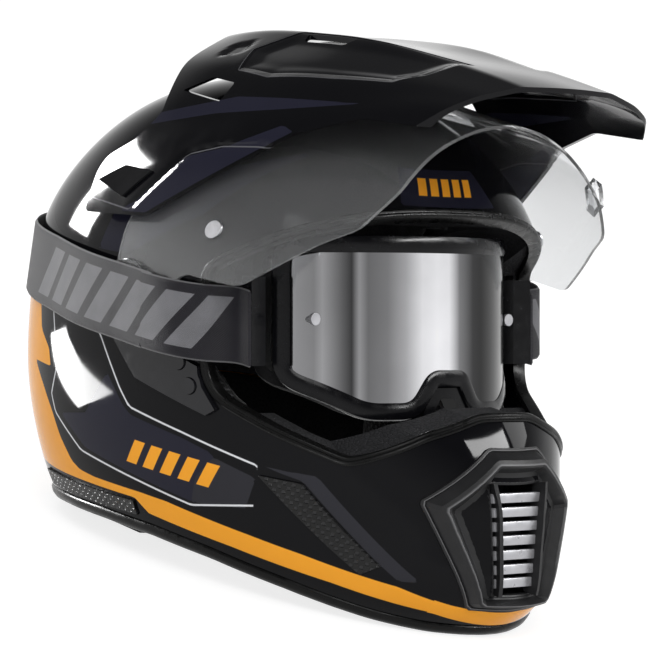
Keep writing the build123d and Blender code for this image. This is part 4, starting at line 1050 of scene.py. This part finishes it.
def make_shield():
    """The clear shield with a hollow hub at each side, turned up to where it is at rest."""
    shield = front_band("shield_clear")
    carve(shield, prism(rounded(SHIELD_SIDE, 5.0), "side", -FAR, FAR), "INTERSECT")
    forward, up = PIVOT
    carve(shield, prism([(-FAR, -50.0), (forward, -50.0), (forward, FAR), (-FAR, FAR)], "side", -FAR, FAR))
    for side in (-1, 1):
        carve(shield, hub_disc(side * 60.0, side * FAR, HUB_ROOM))
        hub = hub_disc(side * HUB_LOW, side * HUB_HIGH, HUB_RADIUS, 64, 0.6)
        skirt = hub_disc(*(side * reach for reach in HUB_SKIRT), HUB_RADIUS, 64)
        carve(skirt, hub_disc(side * HUB_INSIDE, side * HUB_LOW, HUB_ROOM, 64))
        carve(hub, skirt, "UNION")
        for low, radius in SCREW_ROOM:
            carve(hub, hub_disc(side * low, side * SCREW_END, radius, 32))
        carve(shield, hub, "UNION")
    centre = Vector((0.0, MID_REACH - forward, up)) * MM
    turn = Matrix.Rotation(-SHIELD_OPEN, 4, "X")
    shield.data.transform(Matrix.Translation(centre) @ turn @ Matrix.Translation(-centre))
    return shield


# Goggles, drawn upright and then leaned back
LEAN = math.radians(13)
LENS_CENTRE = 50
LENS_RADIUS = 95
LENS_WALL = 1.3
LENS_OUTLINE = (
    (77, 158), (77, 94), (46.2, 77), (23, 77), (12, 94),
    (-12, 94), (-23, 77), (-46.2, 77), (-77, 94), (-77, 158),
)
BEZEL_PROFILE = (
    (1.5, 1.6), (0, 2.2), (-4, 2.6), (-7, 1.6), (-7.6, 0), (-7.6, -9.6), (1.8, -9.6), (1.8, 1),
)
FOAM_RADIUS = 84.5
FOAM_PROFILE = (
    (1.8, 0), (-4, 0), (-5.4, -3), (-5.6, -7), (-4.4, -10.6), (-1, -12), (2, -10.8), (2.8, -6),
)


def lean(points):
    """Goggle places, as side, forward and up, in the helmet's own frame."""
    points = np.array(points, float)
    side, forward, up = points[..., 0], points[..., 1], points[..., 2]
    y = MID_REACH - (forward * math.cos(LEAN) - up * math.sin(LEAN))
    z = forward * math.sin(LEAN) + up * math.cos(LEAN)
    return np.stack([side, y, z], axis=-1)


def on_tube(outline, radius):
    """Side and up places carried forward onto the lens's round wall."""
    outline = np.array(outline, float)
    side = outline[..., 0]
    forward = LENS_CENTRE + np.sqrt(np.maximum(radius ** 2 - side ** 2, 0.0))
    return np.stack([side, forward, outline[..., 1]], axis=-1)


def make_lens():
    """The mirrored lens, with its nose arch."""
    (_, high), *low = LENS_OUTLINE[:5]
    low = np.array(low)[::-1]
    columns = []
    for side in np.linspace(-76.0, 76.0, 121):
        base = np.interp(abs(side), low[:, 0], low[:, 1])
        top = high - max(abs(side) - 60.0, 0.0) * 0.25
        columns.append([(side, base + 0.5 + (top - 0.5 - base) * t) for t in np.linspace(0, 1, 40)])
    outer, inner = on_tube(columns, LENS_RADIUS + LENS_WALL), on_tube(columns, LENS_RADIUS)
    return grid_piece("lens_glass", lean(np.concatenate([outer, inner[:, ::-1]], axis=1)), caps=True)


def goggle_sweep(name, radius, profile):
    """A profile carried round the lens outline on the goggles' curve."""
    place = on_tube(smooth_round(even(rounded(LENS_OUTLINE, 6.0, 7), 420), 2), radius)
    outward = place - np.array([0.0, LENS_CENTRE, 0.0])
    outward[:, 2] = 0.0
    return sweep(name, lean(place), lean(outward) - lean(np.zeros(3)), profile)


# Straps
STRAP_WALL = 2
STRAP_HEIGHT = 40
STRAP_FRONT = 33
STRAP_UP_FRONT = 137.5
STRAP_UP_REAR = 136.5
STRAP_UP_ROUND = 130
STRAP_OFF_HUB = 9.4
STRAP_OFF_REAR = 1.6
HUB_FACE = HUB_HIGH + 0.6 + STRAP_WALL / 2
WEBBING_WIDTH = 24
WEBBING_WALL = 1.8
WEBBING_FORWARD = 4
WEBBING_ANCHOR_UP = 14.5
WEBBING_END_UP = 7


def strap_middle(count):
    """Middle line of the strap round the shell, from the left hub round the back to the right."""
    half_width, front, rear, *rounds = row_sizes(STRAP_UP_ROUND / SHELL_HEIGHT, 0.0)
    start = math.acos(((STRAP_FRONT + SHELL_WAIST_BACK) / (front + SHELL_WAIST_BACK)) ** (rounds[0] / 2))
    points = []
    for turn in start + (2 * math.pi - 2 * start) * np.arange(count) / (count - 1):
        forward = MID_REACH - section_point(turn, half_width, front, rear, *rounds)[1]
        behind_hub = PIVOT[0] - 20.0 - forward
        grow = STRAP_OFF_HUB + (STRAP_OFF_REAR - STRAP_OFF_HUB) * eased(behind_hub / 60.0)
        side, y = section_point(turn, half_width + grow, front, rear + grow, *rounds)
        if behind_hub < 0:
            side = math.copysign(max(abs(side), HUB_FACE), side)
        points.append((side, MID_REACH - y))
    return np.array(points)


def strap_height(forward):
    """Height of the strap's middle at a forward place."""
    drop = (STRAP_UP_FRONT - STRAP_UP_REAR) / (STRAP_FRONT + SHELL_REAR_REACH)
    return STRAP_UP_FRONT - drop * (STRAP_FRONT - np.asarray(forward))


def band_piece(name, middle, up, side_way, height, wall, whole=False, end=0.0, shear=0.0):
    """A flat woven band with rounded edges along a line, with its own map in mm along and across it."""
    middle = np.array(middle, float)
    across = np.concatenate([np.linspace(-1, 1, 25), np.linspace(1, -1, 25)])
    layer = np.concatenate([np.ones(25), -np.ones(25)])
    round_edge = np.sqrt(np.clip(1 - (np.abs(across) - 0.965).clip(0) / 0.035, 0, 1))
    piece = grid_piece(name, [[
        point + rise * a * height / 2 + out * s * e * wall / 2 for a, s, e in zip(across, layer, round_edge)
    ] for point, rise, out in zip(middle, up, side_way)], caps=True)
    length = walked(middle)
    length = np.minimum(length, length[-1] - length) if whole else length - length[-1] + end
    rise = across * height / 2
    layer = piece.data.uv_layers.new(name="UVMap")
    for loop in piece.data.loops:
        row, column = divmod(loop.vertex_index, len(across))
        layer.data[loop.index].uv = (length[row] + shear * rise[column], rise[column])
    return piece


def make_strap():
    """The goggle strap round the back of the shell, from hub to hub."""
    flat = strap_middle(261)
    middle = np.stack([flat[:, 0], MID_REACH - flat[:, 1], strap_height(flat[:, 1])], axis=1)
    up = np.tile((0.0, 0.0, 1.0), (len(middle), 1))
    out = unit(np.cross(up, np.gradient(middle, axis=0)))
    out *= math.copysign(1, out[0, 0])
    return band_piece("strap_band", middle, up, out, STRAP_HEIGHT - 0.2, STRAP_WALL, True)


def make_strap_front():
    """The left stretch of the strap, from the hub forward to the outrigger."""
    side = strap_middle(3)[0, 0]
    path = np.array([(102.3, 106.0), (102.3, 98.5), (118.5, 92.0), (side, 69.0), (side, 44.0)])
    path = even(smooth_curve(path, np.linspace(0, 1, 60)), 40, False)
    middle, ups, outs = [], [], []
    for number, (a, g) in enumerate(path):
        before, after = path[max(number - 1, 0)], path[min(number + 1, len(path) - 1)]
        way = (after - before) / np.linalg.norm(after - before)
        base, top = lean([(a, g, 60.0), (a, g, 160.0)])
        rise = (top - base) / 100.0
        up = strap_height(np.clip(MID_REACH - base[1] - 14.0, 20.0, 90.0))
        middle.append(base + rise * (up - base[2]) / rise[2])
        ups.append(rise)
        normal = lean((way[1], -way[0], 0.0)) - lean(np.zeros(3))
        outs.append(normal if normal[0] > 0 else -normal)
    forward = MID_REACH - np.array(middle)[:, 1]
    keep = forward > STRAP_FRONT - 4
    lines = (np.array(rows)[keep] for rows in (middle, ups, outs))
    height, end = STRAP_HEIGHT / math.cos(LEAN) - 1.5, STRAP_FRONT - forward[keep][-1]
    return band_piece("strap_front_left_look", *lines, height, STRAP_WALL, end=end, shear=math.tan(LEAN))


def make_webbing():
    """The left chin strap: flat webbing from its rivet in to the rings."""
    reach = mesh_points(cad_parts["chin_strap_left"])[:, 0]
    shares = np.linspace(0, 1, 60)
    side = reach.max() - 0.3 + (reach.min() - reach.max() + 0.6) * shares
    up = WEBBING_ANCHOR_UP - WEBBING_WALL / 2 + (WEBBING_END_UP - WEBBING_ANCHOR_UP) * shares
    middle = np.stack([side, np.full(60, MID_REACH - WEBBING_FORWARD), up], axis=1)
    along = (middle[-1] - middle[0]) / np.linalg.norm(middle[-1] - middle[0])
    width_way = np.array([0.0, -1.0, 0.0])
    ways = [np.tile(way, (60, 1)) for way in (width_way, np.cross(along, width_way))]
    return band_piece("chin_strap_left_look", middle, *ways, WEBBING_WIDTH - 0.2, WEBBING_WALL - 0.1)


# Chin vent
# Rings of the frame: corners of the left half in front view, and how far each ring stands off the shell
VENT_RINGS = (
    (((17, 98), (51, 69), (26, 17)), 0.25),
    (((16.9, 97.8), (50.7, 69), (25.9, 17.3)), 2),
    (((16.4, 96.6), (49.2, 68.7), (25.1, 18.5)), 2.2),
    (((16.2, 96), (48.5, 68.6), (24.7, 19)), 1.4),
    (((15.4, 91.5), (42.6, 67.6), (22, 21.4)), 6.4),
    (((14.8, 89), (39.6, 67), (20.4, 22.2)), 7),
    (((14.5, 88), (38.4, 66.8), (19.8, 22.7)), 5.8),
    (((14.3, 86.6), (36, 66.2), (18.6, 23.3)), 0.6),
    (((18, 81), (16.6, 66), (13, 25)), -0.8),
    (((18, 81), (16.6, 66), (13, 25)), -3),
    (((18.8, 81.8), (17.5, 66), (13.8, 24.2)), -3),
    (((18.8, 81.8), (17.5, 66), (13.8, 24.2)), 0.1),
)
# Rings whose beads carry the painted highlight
VENT_HIGHLIGHT_RINGS = (2, 5)
VENT_SLAT_COUNT = 8
VENT_SLAT_DEPTH = 5
VENT_SLAT_RISE = 4.9
VENT_SLAT_OFF = -3.4
VENT_SLAT_TIP = -0.22
VANE_LINE = ((17.2, 81), (14.6, 68), (12.2, 25.5))
VANE_SECTION = ((-0.9, -3.5), (-0.9, 4.6), (0.9, 4.6), (0.9, -3.5))


def make_vent_frame():
    """The raised frame round the intake, with an upright vane at each side of its mouth."""
    shares = np.linspace(0.03, 0.97, 18)
    rings = []
    for corners, grow in VENT_RINGS:
        corners = np.array(mirror_outline(corners))
        flat = [a + (b - a) * share for a, b in zip(corners, np.roll(corners, -1, 0)) for share in shares]
        rings.append(front_points(flat, grow))
    parts = [grid_piece("vent_frame_body", rings, True, True)]
    for side in (-1, 1):
        line = even(VANE_LINE, 24, False)
        grid = [front_points([(side * (a + across), b) for a, b in line], grow)
                for across, grow in VANE_SECTION]
        parts.append(grid_piece("vane", np.transpose(np.array(grid), (1, 0, 2)), caps=True))
    vent = join(parts, "vent_frame_body")
    # Mark the rings that carry the painted highlight, for the material
    bead = np.zeros(len(vent.data.vertices))
    columns = len(rings[0])
    for ring in VENT_HIGHLIGHT_RINGS:
        bead[ring * columns:(ring + 1) * columns] = 1.0
    store(vent, bead=bead)
    return vent


def row_of_blocks(name, places, stretch, turns, size, material):
    """Blocks of one size set at places by a node tree, each stretched and turned by its own numbers."""
    seat = add_mesh(name, places, [])
    for key, values in (("stretch", stretch), ("turn", turns)):
        field = seat.data.attributes.new(key, "FLOAT_VECTOR", "POINT")
        field.data.foreach_set("vector", np.array(values, np.float32).ravel())
    tree = bpy.data.node_groups.new(name + "_rows", "GeometryNodeTree")
    wanted = {key: length * MM for key, length in zip(("Width", "Depth", "Height"), size)}
    kinds = {"Places": "Geometry", **dict.fromkeys(wanted, "Float"), "Finish": "Material"}
    wanted["Finish"] = material
    for label, kind in kinds.items():
        tree.interface.new_socket(label, in_out="INPUT", socket_type="NodeSocket" + kind)
    tree.interface.new_socket("Blocks", in_out="OUTPUT", socket_type="NodeSocketGeometry")
    nodes = Nodes(tree)
    points, *lengths, finish = nodes.add("NodeGroupInput").outputs[:5]
    sizes = nodes.add("ShaderNodeCombineXYZ", dict(enumerate(lengths))).outputs[0]
    block = nodes.add("GeometryNodeMeshCube", {"Size": sizes}).outputs["Mesh"]
    scale, turn = (nodes.add("GeometryNodeInputNamedAttribute", {"Name": key}, data_type="FLOAT_VECTOR")
                   for key in ("stretch", "turn"))
    turn = nodes.add("FunctionNodeEulerToRotation", {0: turn.outputs["Attribute"]}).outputs[0]
    blocks = nodes.add("GeometryNodeInstanceOnPoints", {
        "Points": points, "Instance": block, "Scale": scale.outputs["Attribute"], "Rotation": turn,
    }).outputs["Instances"]
    real = nodes.add("GeometryNodeRealizeInstances", {0: blocks}).outputs[0]
    painted = nodes.add("GeometryNodeSetMaterial", {"Geometry": real, "Material": finish}).outputs["Geometry"]
    nodes.add("NodeGroupOutput", {0: painted})
    change = seat.modifiers.new("rows", "NODES")
    change.node_group = tree
    for item in tree.interface.items_tree:
        if item.in_out == "INPUT" and item.name in wanted:
            change[item.identifier] = wanted[item.name]
    settle(seat)
    return seat


def make_vent_slats():
    """The slats across the intake, as wide as its mouth at their height."""
    (top_half, high), (low_half, low) = VENT_MOUTH
    pitch = (high - low) / VENT_SLAT_COUNT
    ups = [low + pitch * count for count in range(1, VENT_SLAT_COUNT)]
    stretch = [(2 * (np.interp(up, (low, high), (low_half, top_half)) - 0.7), 1.0, 1.0) for up in ups]
    slats = row_of_blocks(
        "vent_slats", front_points([(0.0, up) for up in ups], VENT_SLAT_OFF), stretch,
        [(VENT_SLAT_TIP, 0.0, 0.0)] * len(ups), (1.0, VENT_SLAT_DEPTH, VENT_SLAT_RISE), FINISH["silver"],
    )
    modify(slats, "BEVEL", width=0.5 * MM, segments=2)
    return slats


# Soft pieces
PAD_SHRINK = 1.5
PAD_PRESSURE = 4
PAD_TRAVEL = 5
PAD_VOXEL = 5
PAD_CLEARANCE = 0.4
PAD_STEPS = 20


def padded_copy(node, name):
    """A swollen pad from a solid: remeshed, inflated as cloth and capped in how far it moves."""
    piece = new_object(name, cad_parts[node].data.copy())
    edit(piece, lambda cage: bmesh.ops.remove_doubles(cage, verts=cage.verts, dist=1e-5))
    modify(piece, "REMESH", mode="VOXEL", voxel_size=PAD_VOXEL * MM)
    vertices = piece.data.vertices
    normals = np.array([tuple(v.normal) for v in vertices])
    start = np.array([tuple(v.co) for v in vertices]) - normals * PAD_SHRINK * MM
    vertices.foreach_set("co", start.ravel())
    piece.data.update()
    cloth = piece.modifiers.new("cloth", "CLOTH")
    cloth.settings.use_pressure = True
    cloth.settings.uniform_pressure_force = PAD_PRESSURE
    cloth.settings.effector_weights.gravity = 0.0
    scene = bpy.context.scene
    for step in range(1, PAD_STEPS + 1):
        scene.frame_set(step)
    settle(piece)
    scene.frame_set(1)
    shift = np.array([tuple(v.co) for v in piece.data.vertices]) - start
    far = np.linalg.norm(shift, axis=1, keepdims=True) + 1e-12
    shift *= np.minimum(1.0, PAD_TRAVEL * MM / far)
    # A pad stays inside its own solid where others touch it
    out = (shift * normals).sum(1, keepdims=True)
    shift -= normals * np.maximum(out - (PAD_SHRINK - PAD_CLEARANCE) * MM, 0.0)
    piece.data.vertices.foreach_set("co", (start + shift).ravel())
    modify(piece, "SUBSURF", levels=1, render_levels=1)
    return piece


# Floor and light
FLOOR_REACH = 9000
FLOOR_GLOW = 0.80
WORLD_LEVEL = 0.7
WHITE = (1, 1, 1, 1)
# Name, place, what it faces, size, power, and whether it is seen in gloss alone
LAMPS = (
    ("key_softbox", (-1.3, -1.1, 1.7), (0, 0, 0.12), (0.9, 0.9), 16, False),
    ("right_softbox", (1.6, -0.9, 1.3), (0, 0, 0.15), (0.7, 0.9), 12, False),
    ("back_panel", (-0.66, 1.51, 0.56), (0, 0, 0.15), (0.42, 0.72), 90, True),
    ("front_strip", (0.9, -1.9, 1.5), (0, -0.1, 0.25), (1.6, 0.25), 50, True),
    ("low_panel", (-0.25, 0.33, 0.012), (-0.25, 0.33, 1), (0.09, 0.28), 3.6, True),
)


def make_floor():
    """A floor that glows white to the eye and in reflections, and is pale grey to the rest of the light."""
    corners = [(a * FLOOR_REACH, b * FLOOR_REACH, 0) for a, b in ((-1, -1), (1, -1), (1, 1), (-1, 1))]
    floor = add_mesh("floor", corners, [(0, 1, 2, 3)])
    look = Finish("pale_floor", (0.8, 0.8, 0.8), 0.8, gloss=0.0)
    look.vary(900.0, 0.01)
    glow = look.add("ShaderNodeEmission", {"Color": WHITE, "Strength": FLOOR_GLOW})
    matt = look.add("ShaderNodeBsdfDiffuse", {"Color": (0.36, 0.36, 0.36, 1.0)})
    bright = look.add("ShaderNodeAddShader", {0: glow.outputs[0], 1: matt.outputs[0]})
    pick = look.add("ShaderNodeMixShader", {
        0: look.seen_straight(), 1: look.shader.outputs[0], 2: bright.outputs[0],
    })
    look.put(look.tree.nodes["Material Output"], {"Surface": pick.outputs[0]})
    floor.data.materials.append(look.material)


def make_world():
    """White all round for the eye and clear pieces, and a darker ceiling in reflections."""
    world = bpy.data.worlds.new("studio")
    bpy.context.scene.world = world
    world.use_nodes = True
    nodes = Nodes(world.node_tree)
    level = nodes.spread(nodes.seen_straight(), 0.0, 1.0, WORLD_LEVEL, 1.0)
    height = nodes.split(nodes.add("ShaderNodeTexCoord").outputs["Generated"])["Z"]
    in_gloss = nodes.add("ShaderNodeLightPath").outputs["Is Glossy Ray"]
    fade = nodes.add("ShaderNodeMix", {0: in_gloss, 2: 1.0, 3: nodes.spread(height, 0.12, 0.5, 1.0, 0.1)})
    strength = nodes.math("MULTIPLY", level, fade.outputs[0])
    nodes.put(nodes.tree.nodes["Background"], {"Color": WHITE, "Strength": strength})


def add_lamp(name, place, aim, size, power, gloss_only):
    lamp = new_object(name, bpy.data.lights.new(name, "AREA"))
    lamp.data.shape = "RECTANGLE"
    lamp.data.size, lamp.data.size_y = size
    lamp.data.energy = power
    lamp.location = place
    lamp.rotation_euler = (Vector(aim) - Vector(place)).to_track_quat("-Z", "Y").to_euler()
    lamp.visible_diffuse = not gloss_only


bpy.context.scene.view_settings.view_transform = "Standard"
place_camera()
FINISH = make_finishes()

shell = make_shell()
paint_shell(shell)
# Piece, body, slot, finish, the node that it stands for, and the angle from which an edge is sharp
for row in (
    (shell, "helmet", "shell_gloss", "paint", "outer_shell", 30.0),
    (make_rim_trim(), "helmet", "shell_trim", "rubber", "rim_trim", 50.0),
    (make_port_trim(shell), "helmet", "shell_trim", "rubber", "eyeport_trim", 45.0),
    (make_peak(), "peak", "peak_gloss", "peak", "peak", 24.0),
    (make_shield(), "shield", "shield_clear", "clear", "face_shield", 30.0),
    (make_lens(), "helmet", "lens_mirror", "lens", "goggle_lens", 40.0),
    (goggle_sweep("goggle_bezel", LENS_RADIUS, BEZEL_PROFILE), "helmet", "goggle_black", "frame",
     "goggle_frame", 40.0),
):
    finish_piece(*row)
foam = goggle_sweep("goggle_face_foam", FOAM_RADIUS, FOAM_PROFILE)
finish_piece(foam, "helmet", "face_foam", "face", "goggle_foam", 60.0)

finish_piece(make_strap(), "helmet", "strap_elastic", "strap", "goggle_strap", 50.0)
fronts = finish_both(make_strap_front(), "strap_front", "strap_elastic", "strap")
for piece, side in zip(fronts, (1, -1)):
    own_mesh(piece)
finish_both(make_webbing(), "chin_strap", "webbing", "webbing")
finish_piece(make_vent_frame(), "helmet", "matte_black", "vent", "chin_vent_frame", 20.0)
finish_piece(make_vent_slats(), "helmet", "grille_silver", "silver", "chin_vent_grille", 30.0)

for node, name, look in (
    ("cheek_pad_left", "cheek_cushion_left", "mesh"), ("chin_liner", "chin_cushion", "knit"),
    ("neck_roll", "neck_cushion", "knit"), ("comfort_liner", "crown_cushion", "knit"),
):
    pads = [(padded_copy(node, name), node)]
    if node == "cheek_pad_left":
        pads.insert(0, (mirrored(pads[0][0], "cheek_cushion_right"), "cheek_pad_right"))
    for pad, stands_for in pads:
        finish_piece(pad, "helmet", "liner_fabric", look, stands_for, 70.0)

# Finish of each node that is shown as it comes from the part
KEPT = {
    "matte": ("rear_exhausts", "pivot_screws", "chin_vent_shutter", "pivot_plate"),
    "gloss": ("side_plate_screws", "strap_slider", "side_plate"),
    "steel": ("chin_rings", "strap_rivets", "shield_pins", "peak_screws"),
    "beads": ("eps_liner", "chin_eps"),
    "grid": ("chin_side_vent", "rear_side_vent"),
    "frame": ("nose_guard", "outrigger"),
    "clear": ("shield_tab",), "silver": ("tear_off_posts",), "cap": ("peak_cap",),
}
for name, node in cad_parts.items():
    base = name.rsplit("_", 1)[0] if name.endswith(("_left", "_right")) else name
    for finish, bases in KEPT.items():
        if base in bases:
            node.data.materials.clear()
            node.data.materials.append(FINISH[finish])

make_floor()
make_world()
for lamp in LAMPS:
    add_lamp(*lamp)

bpy.context.view_layer.update()
